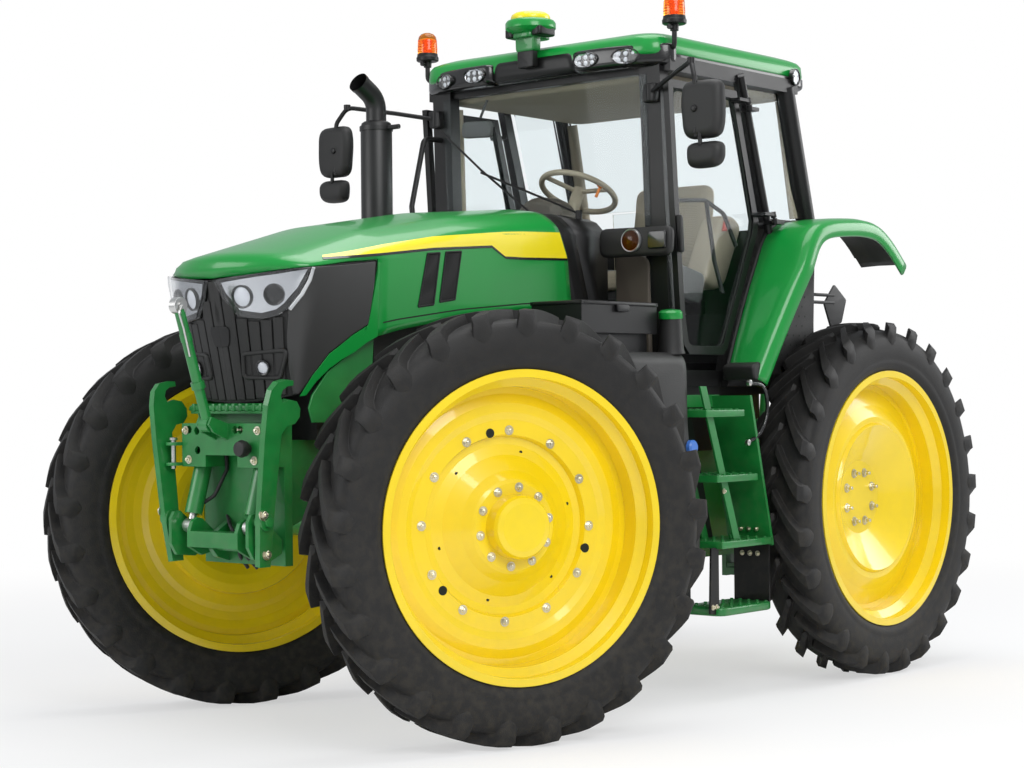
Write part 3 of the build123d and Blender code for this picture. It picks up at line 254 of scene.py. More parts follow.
def make_finishes(paint):
    """Every material of the tractor."""
    body, casting, wheel = paint.body, paint.casting, paint.wheel
    plastic, trim = paint.plastic, paint.trim
    finish("body_green", "green_paint", body, 0.30, coat=0.4, mottle=0.04, grain=900, bump=0.00004,
           dust=0.05, edge=0.004, specular=0.35)
    finish("casting_green", "green_paint", casting, 0.38, coat=0.45, mottle=0.14, mottle_scale=9, grain=220,
           bump=0.0005, dust=0.18, edge=0.004)
    finish("wheel_yellow", "yellow_paint", wheel, 0.30, coat=0.6, mottle=0.05, grain=700, bump=0.00005,
           dust=0.06, edge=0.003)
    finish("stripe_yellow", "yellow_paint", (0.92, 0.76, 0.008), 0.30, coat=0.6, mottle=0.03, dust=0.02)
    finish("gloss_black", "black_paint", (0.006, 0.006, 0.006), 0.25, coat=0.4, mottle=0.15, grain=600,
           bump=0.00005, dust=0.03, edge=0.004)
    finish("satin_black", "black_paint", (0.006, 0.006, 0.006), 0.42, coat=0.05, mottle=0.15, grain=500,
           bump=0.0002, dust=0.05, edge=0.003, specular=0.35)
    finish("moulded_black", "black_plastic", plastic, 0.55, mottle=0.2, mottle_scale=5, grain=420,
           bump=0.0007, dust=0.16, edge=0.004)
    finish("tank_charcoal", "black_plastic", (0.020, 0.020, 0.019), 0.52, mottle=0.18, mottle_scale=4,
           grain=260, bump=0.0009, dust=0.15, edge=0.012)
    finish("tyre_rubber", "tyre", (0.013, 0.0125, 0.012), 0.60, mottle=0.22, mottle_scale=6, grain=180,
           bump=0.0012, dust=0.10, dust_top=1.9, edge=0.005, specular=0.35)
    finish("cab_tan", "tan_plastic", trim, 0.65, mottle=0.06, grain=500, bump=0.0004, dust=0, edge=0.004)
    finish("seat_cloth", "tan_fabric", trim, 0.85, mottle=0.1, mottle_scale=12, dust=0, bump=0.0006,
           weave=170)
    finish("cab_grey", "black_plastic", (0.085, 0.085, 0.083), 0.6, mottle=0.1, grain=500, bump=0.0004,
           dust=0, edge=0.004)
    finish("bare_steel", "bright_steel", (0.62, 0.62, 0.60), 0.30, metallic=1.0, mottle=0.12, grain=80,
           bump=0.0002, dust=0.05, edge=0.002)
    finish("plated_bolt", "bright_steel", (0.70, 0.66, 0.52), 0.32, metallic=1.0, mottle=0.2, dust=0.05)
    finish("cast_dark", "dark_metal", (0.035, 0.035, 0.034), 0.6, metallic=0.3, mottle=0.2, grain=160,
           bump=0.001, dust=0.2, edge=0.004)
    finish("exhaust_black", "dark_metal", (0.006, 0.006, 0.006), 0.40, mottle=0.2, grain=200,
           bump=0.0003, dust=0.02, edge=0.002)
    finish("hose_black", "black_plastic", (0.008, 0.008, 0.008), 0.45, mottle=0.1, grain=900, bump=0.0003,
           dust=0.1)
    finish("panel_grey", "black_plastic", (0.036, 0.036, 0.035), 0.42, mottle=0.08, grain=700, bump=0.0003,
           dust=0.04, edge=0.003)
    # Near-black with a green cast: painted shade in the hood's shut lines and in the wheel and fender holes,
    # and the real black of the door seals.
    finish("gap_shade_and_seal", "black_plastic", (0.004, 0.009, 0.005), 0.8, dust=0)
    finish("mesh_black", "black_plastic", (0.006, 0.006, 0.006), 0.7, mottle=0.1, dust=0, bump=0.002,
           weave=120)
    finish("silver_trim", "bright_steel", (0.60, 0.61, 0.62), 0.28, metallic=0.9, mottle=0.05, dust=0)
    finish("lamp_silver", "bright_steel", (0.70, 0.71, 0.73), 0.16, metallic=1.0, mottle=0.05, dust=0)
    finish("lamp_led", "clear_lens", (0.62, 0.64, 0.68), 0.2, mottle=0.02, dust=0)
    finish("red_knob", "black_plastic", (0.55, 0.03, 0.01), 0.35, coat=0.3, dust=0)
    finish("orange_knob", "black_plastic", (0.75, 0.20, 0.01), 0.35, coat=0.3, dust=0)
    finish("blue_cap", "black_plastic", (0.05, 0.18, 0.60), 0.4, coat=0.2, dust=0.05)
    finish("mirror_glass", "bright_steel", (0.80, 0.82, 0.84), 0.04, metallic=1.0, mottle=0.02, dust=0)
    finish("dash_brown", "tan_plastic", (0.090, 0.075, 0.058), 0.6, mottle=0.06, grain=500, bump=0.0004,
           dust=0, edge=0.004)
    finish("lens_amber_core", "amber_lens", (0.75, 0.20, 0.01), 0.3, mottle=0.1, dust=0)
    clear("cab_glass", "glass", (0.86, 0.90, 0.91), ior=1.12)
    clear("lens_clear", "clear_lens", (0.94, 0.95, 0.96), ior=1.35)
    clear("lens_amber", "amber_lens", (0.95, 0.30, 0.02), roughness=0.05, ior=1.4)


# ------------------------------------------------------------------ shapes
class Shape:
    """A mesh in the making, in the row frame."""

    def __init__(self):
        self.mesh = bmesh.new()

    def rows(self, rows, closed=False, ends=False):
        """Skin over rows of points; closed joins each row's last point to its first."""
        grid = [[self.mesh.verts.new(point) for point in row] for row in rows]
        count = len(grid[0])
        for near, far in zip(grid, grid[1:]):
            for i in range(count if closed else count - 1):
                j = (i + 1) % count
                self.mesh.faces.new((near[i], near[j], far[j], far[i]))
        if ends:
            self.mesh.faces.new(reversed(grid[0]))
            self.mesh.faces.new(grid[-1])
        return self

    def prism(self, outline, low, high):
        """Side-view outline of (ahead, height) points between two y values."""
        return self.rows([[at(x, y, z) for x, z in outline] for y in (low, high)], closed=True, ends=True)

    def plan(self, outline, low, high):
        """Plan outline of (ahead, y) points between two heights."""
        return self.rows([[at(x, y, z) for x, y in outline] for z in (low, high)], closed=True, ends=True)

    def box(self, xs, ys, zs):
        """Upright block between the given pairs."""
        return self.plan([(xs[0], ys[0]), (xs[1], ys[0]), (xs[1], ys[1]), (xs[0], ys[1])], *zs)

    def turned(self, profile, centre=(0, 0, 0), axis=(0, 0, 1), steps=48, closed=False):
        """Surface turned about an axis from (along, radius) points; closed joins its ends."""
        axis = Vector(axis).normalized()
        side = axis.orthogonal().normalized()
        up = axis.cross(side)
        rows = []
        for i in range(steps + 1):
            angle = 2 * pi * i / steps
            out = side * cos(angle) + up * sin(angle)
            rows.append([Vector(centre) + axis * along + out * radius for along, radius in profile])
        return self.rows(rows, closed=closed)

    def bar(self, start, end, radius, sides=20):
        """Round bar between two points."""
        start, end = Vector(start), Vector(end)
        length = (end - start).length
        return self.turned([(0, 0), (0, radius), (length, radius), (length, 0)], start, end - start,
                           steps=sides)

    def tube(self, points, radius, bend=0.05, sides=14, ends=True):
        """Round tube along points with rounded corners."""
        path = rounded(points, bend)
        rows, side = [], None
        for i, point in enumerate(path):
            ahead_point = path[min(i + 1, len(path) - 1)]
            along = (ahead_point - path[max(i - 1, 0)]).normalized()
            if side is None:
                side = along.orthogonal().normalized()
            side = (side - along * side.dot(along)).normalized()
            up = along.cross(side)
            rows.append([point + (side * cos(a) + up * sin(a)) * radius
                         for a in (2 * pi * k / sides for k in range(sides))])
        return self.rows(rows, closed=True, ends=ends)

    def stack(self, outline, levels, place, bend=0.02, steps=4):
        """Loft of one outline with rounded corners, drawn in by each (level, inset)."""
        return self.rows([[place(a, b, level) for a, b in soft_loop(outline, inset, bend, steps)]
                          for level, inset in levels], closed=True, ends=True)

    def block(self, outline, place, low, high, edge, far_edge=None, bend=0.02, steps=4, turns=4):
        """Slab of one outline between two levels, its edges rounded."""
        return self.stack(outline, soft_levels(low, high, edge, far_edge, turns), place, bend, steps)

    def oval(self, profile, centre, facing, width, height, steps=28, closed=False):
        """Oval turned shape: (distance out, share of its size) points, level across."""
        facing = Vector(facing).normalized()
        level = Vector((0, 0, 1)).cross(facing).normalized()
        up = facing.cross(level)
        rows = []
        for i in range(steps + 1):
            a = 2 * pi * i / steps
            out = level * cos(a) * width / 2 + up * sin(a) * height / 2
            rows.append([Vector(centre) + facing * along + out * share for along, share in profile])
        return self.rows(rows, closed=closed)

    def piece(self, name, finish_name, body="chassis", bevel=0.0, replaces=(), angle=30, merge=1e-5,
              thick=0.0, core=None):
        """Close the mesh into a piece that rides on a body; an open skin faces away from its core."""
        bmesh.ops.remove_doubles(self.mesh, verts=self.mesh.verts, dist=merge)
        bmesh.ops.dissolve_degenerate(self.mesh, edges=self.mesh.edges, dist=1e-6)
        bmesh.ops.recalc_face_normals(self.mesh, faces=self.mesh.faces)
        if core is not None:
            outward = sum(face.normal.dot(face.calc_center_median() - core) for face in self.mesh.faces)
            if outward < 0:
                bmesh.ops.reverse_faces(self.mesh, faces=self.mesh.faces)
        data = bpy.data.meshes.new(name)
        self.mesh.to_mesh(data)
        self.mesh.free()
        made = fitted(name, data, finish_name, body, bevel, replaces, angle)
        if thick:
            wall = made.modifiers.new("wall", "SOLIDIFY")
            wall.thickness = thick
            wall.offset = -1.0
        return made


def fitted(name, data, finish_name, body, bevel=0.0, replaces=(), angle=30):
    """Object from finished mesh data, with its material, its shading and its body."""
    material, slot = FINISHES[finish_name]
    data.materials.clear()
    data.materials.append(material)
    data.shade_smooth()
    data.set_sharp_from_angle(angle=radians(angle))
    made = bpy.data.objects.new(name, data)
    bpy.context.scene.collection.objects.link(made)
    if bevel:
        rounding = made.modifiers.new("rounding", "BEVEL")
        rounding.width = bevel
        rounding.segments = 2
        rounding.limit_method = "ANGLE"
        rounding.angle_limit = radians(32)
        rounding.harden_normals = False
    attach(made, body)
    if replaces:
        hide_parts(*replaces)
    return made


def rounded(points, bend, steps=6):
    """Polyline with its corners rounded to a bend radius."""
    points = [Vector(point) for point in points]
    path = [points[0]]
    for before, corner, after in zip(points, points[1:], points[2:]):
        back, on = (before - corner), (after - corner)
        half = back.angle(on) / 2
        reach = min(bend / tan(half) if half > 1e-3 else 0, 0.49 * back.length, 0.49 * on.length)
        start, end = corner + back.normalized() * reach, corner + on.normalized() * reach
        for i in range(steps + 1):
            t = i / steps
            path.append(start.lerp(corner, t).lerp(corner.lerp(end, t), t))
    path.append(points[-1])
    return path


def rect(left, right, low, high):
    """Corners of an upright oblong outline."""
    return [(left, low), (right, low), (right, high), (left, high)]


def side_view(a, b, level):
    """Point from (ahead, height) at a y value."""
    return at(a, level, b)


def front_view(a, b, level):
    """Point from (y, height) at a distance ahead."""
    return at(level, a, b)


def plan_view(a, b, level):
    """Point from (ahead, y) at a height."""
    return at(a, b, level)


def soft_levels(low, high, edge, far_edge=None, steps=4):
    """Levels with insets that round an extrusion's two edges."""
    way = 1 if high > low else -1
    far_edge = edge if far_edge is None else far_edge
    turns = [i * pi / 2 / steps for i in range(steps + 1)]
    near = [(low + way * edge * (1 - cos(a)), edge * (1 - sin(a))) for a in turns]
    far = [(high - way * far_edge * (1 - cos(a)), far_edge * (1 - sin(a))) for a in turns]
    return near + far[::-1]


def soft_loop(outline, inset, bend, steps=4):
    """Closed outline moved inwards by inset, its corners rounded over a length of bend."""
    points = [Vector(point) for point in outline]
    before, after = points[-1:] + points[:-1], points[1:] + points[:1]
    turn = 1 if sum(a.x * b.y - b.x * a.y for a, b in zip(points, after)) > 0 else -1
    moved = []
    for back, here, on in zip(before, points, after):
        first, second = (here - back).normalized(), (on - here).normalized()
        left, right = Vector((-first.y, first.x)) * turn, Vector((-second.y, second.x)) * turn
        moved.append(here + (left + right) / max(0.2, 1 + left.dot(right)) * inset)
    loop = []
    for back, here, on in zip(moved[-1:] + moved[:-1], moved, moved[1:] + moved[:1]):
        back, on = back - here, on - here
        start = here + back.normalized() * min(bend, 0.45 * back.length)
        end = here + on.normalized() * min(bend, 0.45 * on.length)
        loop += [start.lerp(here, t).lerp(here.lerp(end, t), t)
                 for t in (i / steps for i in range(steps + 1))]
    return loop


def mirrored(outline, side):
    """Outline with its first coordinate on that side."""
    return [(side * a, b) for a, b in outline]


def smooth_curve(points, steps=8):
    """Even curve through points of any dimension."""
    points = [Vector(point) for point in points]
    ends = [points[0] * 2 - points[1]] + points + [points[-1] * 2 - points[-2]]
    path = []
    for a, b, c, d in zip(ends, ends[1:], ends[2:], ends[3:]):
        for i in range(steps):
            t = i / steps
            path.append(0.5 * ((2 * b) + (c - a) * t + (2 * a - 5 * b + 4 * c - d) * t * t
                               + (3 * b - a - 3 * c + d) * t ** 3))
    path.append(points[-1])
    return path


# ------------------------------------------------------------------ geometry node trees
def geometry_tree(name, inputs, table, links):
    """Geometry tree with a mesh input and more inputs of (name, type), as (tree, socket identifiers)."""
    tree = bpy.data.node_groups.new(name, "GeometryNodeTree")
    tree.interface.new_socket("Geometry", in_out="INPUT", socket_type="NodeSocketGeometry")
    sockets = {label: tree.interface.new_socket(label, in_out="INPUT", socket_type=kind).identifier
               for label, kind in inputs}
    tree.interface.new_socket("Geometry", in_out="OUTPUT", socket_type="NodeSocketGeometry")
    ends = {"source": ("NodeGroupInput",), "sink": ("NodeGroupOutput",),
            "points": ("GeometryNodeMeshToPoints",),
            "part": ("GeometryNodeObjectInfo", {"transform_space": "ORIGINAL"}),
            "place": ("GeometryNodeInstanceOnPoints",), "real": ("GeometryNodeRealizeInstances",),
            "paint": ("GeometryNodeSetMaterial",)}
    wired(tree, {**ends, **table}, links + [
        "points.Points > place.Points", "source.Part > part.Object", "part.Geometry > place.Instance",
        "place.Instances > real.Geometry", "real.Geometry > paint.Geometry",
        "source.Finish > paint.Material", "paint.Geometry > sink.Geometry"])
    return tree, sockets


def copies_tree():
    """Places a part on points, each aimed along its own vector, as real geometry."""
    return geometry_tree(
        "copies_on_points",
        (("Part", "NodeSocketObject"), ("Size", "NodeSocketFloat"), ("Finish", "NodeSocketMaterial"),
         ("Turn Seed", "NodeSocketInt"), ("Turn", "NodeSocketFloat")),
        {"aim": ("GeometryNodeInputNamedAttribute", {"data_type": "FLOAT_VECTOR"}, {"Name": "aim"}),
         "align": ("FunctionNodeAlignRotationToVector", {"axis": "Z"}),
         "turns": ("FunctionNodeRandomValue", {"data_type": "FLOAT"}),
         "twist": ("FunctionNodeAxisAngleToRotation",),
         "rotate": ("FunctionNodeRotateRotation", {"rotation_space": "LOCAL"})},
        ["source.Geometry > points.Mesh", "aim.Attribute > align.Vector",
         "align.Rotation > rotate.Rotation", "source.Turn > turns.3", "source.Turn Seed > turns.Seed",
         "turns.1 > twist.Angle", "twist.Rotation > rotate.Rotate By", "rotate.Rotation > place.Rotation",
         "source.Size > place.Scale"])


def ring_tree():
    """Repeats a part around the Z axis, with a share of a step as head start, as real geometry."""
    return geometry_tree(
        "ring_of_parts",
        (("Part", "NodeSocketObject"), ("Count", "NodeSocketInt"), ("Head Start", "NodeSocketFloat"),
         ("Finish", "NodeSocketMaterial")),
        {"dots": ("GeometryNodeMeshLine", {"mode": "OFFSET"}, {"Offset": (0, 0, 0)}),
         "index": ("GeometryNodeInputIndex",),
         "start": ("ShaderNodeMath", {"operation": "ADD"}),
         "share": ("ShaderNodeMath", {"operation": "DIVIDE"}),
         "angle": ("ShaderNodeMath", {"operation": "MULTIPLY"}, {1: 2 * pi}),
         "spin": ("FunctionNodeAxisAngleToRotation", {}, {"Axis": (0, 0, 1)})},
        ["source.Count > dots.Count", "dots.Mesh > points.Mesh", "index.0 > start.0",
         "source.Head Start > start.1", "start.0 > share.0", "source.Count > share.1", "share.0 > angle.0",
         "angle.0 > spin.Angle", "spin.Rotation > place.Rotation"])


TREES = {}


def grown(tree_name, source_mesh, part, values):
    """Run a geometry tree over a mesh and return plain mesh data."""
    tree, sockets = TREES[tree_name]
    stock = bpy.data.objects.new("stock", part)
    holder = bpy.data.objects.new("holder", source_mesh)
    for thing in (stock, holder):
        bpy.context.scene.collection.objects.link(thing)
    modifier = holder.modifiers.new("grow", "NODES")
    modifier.node_group = tree
    modifier[sockets["Part"]] = stock
    for label, value in values.items():
        modifier[sockets[label]] = value
    depsgraph = bpy.context.evaluated_depsgraph_get()
    result = bpy.data.meshes.new_from_object(holder.evaluated_get(depsgraph), depsgraph=depsgraph)
    for thing in (stock, holder):
        bpy.data.objects.remove(thing)
    return result


def scatter(name, part, spots, finish_name, body, size=1.0):
    """One piece made of copies of a part at (point, aim) spots."""
    stock = bpy.data.meshes.new("spots")
    stock.from_pydata([tuple(point) for point, _ in spots], [], [])
    aim = stock.attributes.new("aim", "FLOAT_VECTOR", "POINT")
    for i, (_, vector) in enumerate(spots):
        aim.data[i].vector = Vector(vector)
    data = grown("copies", stock, part, {"Size": size, "Finish": FINISHES[finish_name][0],
                                         "Turn Seed": 3, "Turn": 1.0})
    return fitted(name, data, finish_name, body)


def as_mesh(shape):
    """Plain mesh data from a shape, for use as a repeated part."""
    bmesh.ops.remove_doubles(shape.mesh, verts=shape.mesh.verts, dist=1e-6)
    bmesh.ops.recalc_face_normals(shape.mesh, faces=shape.mesh.faces)
    data = bpy.data.meshes.new("part")
    shape.mesh.to_mesh(data)
    shape.mesh.free()
    return data


def hex_bolt(size):
    """Bolt head with its washer and stub, standing on the origin along Z."""
    shape = Shape()
    shape.turned([(0, 0), (0, 0.78 * size), (0.12 * size, 0.78 * size), (0.12 * size, 0)], steps=14)
    shape.turned([(0, 0), (0, 0.56 * size), (0.48 * size, 0.56 * size), (0.56 * size, 0.44 * size),
                  (0.56 * size, 0)], steps=6)
    shape.turned([(0.5 * size, 0), (0.5 * size, 0.28 * size), (0.82 * size, 0.28 * size),
                  (0.86 * size, 0.2 * size), (0.86 * size, 0)], steps=8)
    return as_mesh(shape)


# ------------------------------------------------------------------ operators
class TRACTOR_OT_materials(bpy.types.Operator):
    """Makes the paints, rubbers, plastics and glasses, and puts them on the carried-over solids"""

    bl_idname = "tractor.materials"
    bl_label = "Materials"

    solids = {
        "body_green": ("hood", "roof_cap", "fenders", "receiver"),
        "casting_green": ("front_axle", "knuckle_left", "knuckle_right", "front_frame", "transmission",
                          "step_ladder", "hitch_frame", "lift_arm", "front_links", "front_top_link",
                          "front_barrels", "rear_hitch", "rear_lift_arms", "rear_lower_links",
                          "rear_lift_rods", "rear_top_link"),
        "wheel_yellow": ("rim_front_left", "rim_front_right", "rim_rear_left", "rim_rear_right"),
        "satin_black": ("cab_frame", "cab_tub", "door_left", "door_right", "handrail",
                        "toolbox", "toolbox_lid"),
        "moulded_black": ("grille", "cowl", "roof_base", "fender_liners", "battery_box",
                          "mirrors", "signal_lamps", "seat_base"),
        "tank_charcoal": ("fuel_tank",),
        "tyre_rubber": ("tyre_front_left", "tyre_front_right", "tyre_rear_left", "tyre_rear_right"),
        "cast_dark": ("engine", "cooling_pack"),
        "exhaust_black": ("exhaust",),
        "cab_tan": ("consoles", "steering_wheel", "passenger_seat"),
        "seat_cloth": ("seat_cushion", "seat_backrest"),
        "bare_steel": ("front_rods", "steering_rod", "pto_shaft"),
        "lens_clear": ("headlights",),
        "lens_amber": ("beacons",),
        "cab_glass": ("cab_windows", "door_glass_left", "door_glass_right"),
    }

    def execute(self, context):
        make_finishes(context.scene.tractor_paint)
        TREES["copies"] = copies_tree()
        TREES["ring"] = ring_tree()
        for name, nodes in self.solids.items():
            for label in nodes:
                solid = frame["nodes"][label]
                for holder in solid.material_slots:
                    holder.link = "OBJECT"
                    holder.material = FINISHES[name][0]
        return {"FINISHED"}


def solid_tree(label, matrix=Matrix()):
    """Search tree over a carried-over solid's faces, seen through a matrix."""
    solid = frame["nodes"][label]
    return BVHTree.FromPolygons([matrix @ (solid.matrix_world @ v.co) for v in solid.data.vertices],
                                [tuple(p.vertices) for p in solid.data.polygons])


def wheel_matrix(name, outward=False):
    """Moves a wheel drawn around Z at the origin to its place; Z becomes the axle."""
    joint = JOINTS["spin_" + name]
    axis = Vector(joint["axis"]).normalized()
    if outward and name.endswith("right"):
        axis = -axis
    level = Vector((0, 0, 1)).cross(axis).normalized()
    turn = Matrix((level, axis.cross(level), axis)).transposed().to_4x4()
    return Matrix.Translation(joint["pos_m"]) @ turn


CASING = [(0.0, 0.873), (0.06, 0.872), (0.11, 0.867), (0.14, 0.853), (0.155, 0.826), (0.1595, 0.79),
          (0.1600, 0.765), (0.158, 0.735), (0.1555, 0.725), (0.1545, 0.712), (0.1555, 0.702),
          (0.150, 0.686), (0.1395, 0.670), (0.1325, 0.663), (0.1305, 0.660), (0.1305, 0.6355),
          (0.100, 0.6355)]


class TRACTOR_OT_tyres(bpy.types.Operator):
    """Makes the four tyres: a casing and two rings of curved tread bars on each"""

    bl_idname = "tractor.tyres"
    bl_label = "Tyres"

    def lug(self, sizes, side):
        """One tread bar, drawn at the top of the tyre; its foot lies just inside the casing."""
        wide, mean_radius = sizes.lug_width / 2, 0.9
        shoulder, crown_share = 0.148, 1.28     # inside the shoulder the bars are wider by that share
        line = [(-0.010, 0.872, 0.55), (0.004, 0.8725, 0.95), (0.035, 0.872, 1.02), (0.075, 0.870, 1.14),
                (0.112, 0.865, 1.32), (0.141, 0.851, 1.50), (0.153, 0.832, 1.90), (0.1585, 0.814, 1.15),
                (0.1595, 0.798, 0.30)]
        crest = [0.900, 0.9148, 0.9148, 0.9146, 0.9135, 0.907, 0.884, 0.838, 0.803]
        spread = [0.0, 0.0, 0.0, 0.0, 0.0, 0.003, 0.0105, 0.0085, 0.002]
        rows = []
        for (across, foot, share), top, proud in zip(line, crest, spread):
            reach = max(0.0, 1 - max(across, 0) / shoulder)
            middle = radians(14.5) * reach ** 1.12
            row = []
            for edge, radius, out in ((-1.0, foot - 0.006, 0), (-0.74, top, proud), (0.74, top, proud),
                                      (1.0, foot - 0.006, 0)):
                swell = 1.0 if across > shoulder else crown_share
                angle = middle + edge * wide * share / mean_radius * swell
                row.append(Vector((sin(angle) * radius, cos(angle) * radius, side * (across + out))))
            rows.append(row)
        return as_mesh(Shape().rows(rows, closed=True, ends=True))

    def execute(self, context):
        sizes = context.scene.tractor_wheels
        rubber = FINISHES["tyre_rubber"][0]
        half = CASING[::-1] + [(-across, radius) for across, radius in CASING[1:]]
        tyre = Shape().turned(half, steps=100, closed=True)
        for side, start in ((1, 0.0), (-1, 0.5)):
            ring = grown("ring", bpy.data.meshes.new("empty"), self.lug(sizes, side),
                         {"Count": sizes.lug_count, "Head Start": start, "Finish": rubber})
            tyre.mesh.from_mesh(ring)
        data = as_mesh(tyre)
        for name in WHEELS:
            copy = data.copy()
            copy.transform(wheel_matrix(name))
            fitted(f"tread_{name}", copy, "tyre_rubber", f"wheel_{name}", replaces=(f"tyre_{name}",),
                   angle=38)
        return {"FINISHED"}


class TRACTOR_OT_wheel_bolts(bpy.types.Operator):
    """Makes the bolt rings of the wheels, and dark plugs of painted shade in their valve and lightening
    holes
    """

    bl_idname = "tractor.wheel_bolts"
    bl_label = "Wheel bolts"

    front_bolts = ((12, 0.404, 0.93, 1.0), (10, 0.167, 0.30, 0.95))   # count, radius, head start, scale
    rear_bolts = ((8, 0.135, 0.50, 1.15),)
    front_holes = ((-16, 0.400, 0.020), (101, 0.400, 0.020), (220, 0.400, 0.020), (15, 0.32, 0.007),
                   (75, 0.32, 0.007), (135, 0.32, 0.007), (195, 0.32, 0.007), (255, 0.32, 0.007),
                   (315, 0.32, 0.007))

    def face(self, name, matrix, radius, angle):
        """Height of the wheel disc at a radius and an angle, drawn around Z."""
        above = Vector((radius * cos(angle), radius * sin(angle), 0.5))
        return solid_tree("rim_" + name, matrix.inverted()).ray_cast(above, (0, 0, -1))[0].z

    def execute(self, context):
        size = context.scene.tractor_wheels.bolt_size
        metal = FINISHES["plated_bolt"][0]
        for name in WHEELS:
            matrix = wheel_matrix(name, outward=True)
            front = name.startswith("front")
            bolts = Shape()
            for count, radius, start, scale in self.front_bolts if front else self.rear_bolts:
                height = self.face(name, matrix, radius, 2 * pi * start / count)
                bolt = hex_bolt(size * scale)
                if not front:
                    both = Shape()
                    both.mesh.from_mesh(bolt)
                    bolt = as_mesh(both.turned([(0, 0), (0, 0.010), (0.034, 0.010), (0.037, 0.008),
                                                (0.037, 0)], steps=10))
                bolt.transform(Matrix.Translation((radius, 0, height)))
                ring = grown("ring", bpy.data.meshes.new("empty"), bolt,
                             {"Count": count, "Head Start": start, "Finish": metal})
                bolts.mesh.from_mesh(ring)
            data = as_mesh(bolts)
            data.transform(matrix)
            fitted(f"wheel_bolts_{name}", data, "plated_bolt", f"wheel_{name}", angle=25)
            if front:
                self.holes(name, matrix)
        return {"FINISHED"}

    def holes(self, name, matrix):
        """Painted shade in the valve and lightening holes, as shallow dark plugs flush with the disc."""
        plugs = Shape()
        for degrees, radius, size in self.front_holes:
            angle = radians(degrees)
            spot = (radius * cos(angle), radius * sin(angle), self.face(name, matrix, radius, angle))
            plugs.turned([(-0.006, 0), (-0.006, size), (0.0012, size), (0.0012, 0)], spot, steps=20)
        data = as_mesh(plugs)
        data.transform(matrix)
        fitted(f"wheel_holes_{name}", data, "gap_shade_and_seal", f"wheel_{name}", angle=40)


# ------------------------------------------------------------------ hood
# ahead, bottom half width, shoulder half width and height, edge half width and height, crown
HOOD_STATIONS = (
    (1.800, 0.420, 0.420, 2.262, 0.350, 2.335, 2.372),
    (2.500, 0.420, 0.420, 2.196, 0.345, 2.268, 2.312),
    (3.100, 0.400, 0.436, 2.092, 0.345, 2.168, 2.218),
    (3.736, 0.262, 0.440, 1.950, 0.330, 2.000, 2.040),
)
HOOD_FOOT = 1.436            # height that the bottom half widths are given at
HOOD_START = 1.8             # rear end of the stations
HOOD_CORE = 1.8              # height that the skin's rows are cast from
NOSE = 3.1                   # from here forward, distances run round the nose
NOSE_RUN = 0.65              # from NOSE at the side to the middle of the front
FACE_FOOT = 1.4              # height that the nose's face is drawn from
FACE_MIDDLE = (3.541, 0.2045)   # ahead at that height, and lean forward with height
FACE_CORNER = (3.390, 0.1664)   # the same at the face's corners
FACE_HALF = 0.47             # from the face's middle to its corners
ARCH_LINE = ((1.70, 1.890), (1.83, 1.881), (2.13, 1.857), (2.54, 1.820), (2.94, 1.757), (3.10, 1.722))
HOOD_REAR = ((1.85, 1.768), (1.912, 1.772), (2.12, 1.797), (2.235, 1.852), (2.30, 1.880), (2.40, 1.905))
LIP = ((NOSE, 0.434, 2.052), (3.298, 0.435, 2.036), (3.484, 0.428, 2.012), (3.581, 0.323, 1.994),
       (3.631, 0.186, 1.976), (3.657, 0.0, 1.968))


def between(table, value):
    """Straight-line value from a table of (key, result) pairs."""
    for (low, a), (high, b) in zip(table, table[1:]):
        if value <= high:
            return a + (b - a) * max(0.0, (value - low) / (high - low))
    return table[-1][1]


def soft_min(a, b, blend):
    """The lesser of two depths, rounded where they meet."""
    near = max(blend - abs(a - b), 0) / blend
    return min(a, b) - near * near * blend / 4


def hood_depth(x, y, z):
    """Depth under the hood's outer surface; negative outside."""
    y = abs(y)
    bottom, shoulder, shoulder_z, edge, edge_z, crown = (
        between([(row[0], row[i]) for row in HOOD_STATIONS], x) for i in range(1, 7))
    flank = shoulder - (shoulder_z - z) * (shoulder - bottom) / (shoulder_z - HOOD_FOOT) - y
    slope = 0.72 * (edge + (edge_z - z) * (shoulder - edge) / (edge_z - shoulder_z) - y)
    top = crown - (crown - edge_z) * (y / edge) ** 2 - z
    middle, corner = (start + (z - FACE_FOOT) * lean for start, lean in (FACE_MIDDLE, FACE_CORNER))
    front = middle - (middle - corner) * (y / FACE_HALF) ** 2 - x
    return soft_min(soft_min(soft_min(flank, slope, 0.02), top, 0.03), front, 0.05)


def cast(origin, direction):
    """Distance from a point inside the hood out to its surface."""
    inner, outer = 0.0, 1.2
    for _ in range(24):
        middle = (inner + outer) / 2
        if hood_depth(*(o + d * middle for o, d in zip(origin, direction))) > 0:
            inner = middle
        else:
            outer = middle
    return inner


def hood_point(along, z, proud=0.0, side=1):
    """Point on the hood's flank or nose at that height."""
    turn = radians(90 * (1 - max(0.0, along - NOSE) / NOSE_RUN))
    origin = (min(along, NOSE), 0.0, z)
    direction = (cos(turn), sin(turn), 0.0)
    reach = cast(origin, direction) + proud
    return at(origin[0] + direction[0] * reach, side * direction[1] * reach, z)


def hood_normal(point):
    """Outward direction of the hood's surface at a row-frame point."""
    x, y, z = point.x - REAR_AXLE.x, point.y, point.z
    here, step = hood_depth(x, y, z), 0.002
    slope = [hood_depth(x + step, y, z) - here, hood_depth(x, y + step, z) - here,
             hood_depth(x, y, z + step) - here]
    return -Vector(slope).normalized()


def hood_line(points, steps):
    """Even (along, z) line through (ahead, y, z) points near the hood."""
    flat = []
    for x, y, z in points:
        run = x if x <= NOSE else NOSE + NOSE_RUN * (1 - atan2(y, x - NOSE) * 2 / pi)
        flat.append(Vector((run, z)))
    line = [a.lerp(b, i / steps) for a, b in zip(flat, flat[1:]) for i in range(steps)]
    return line + [flat[-1]]


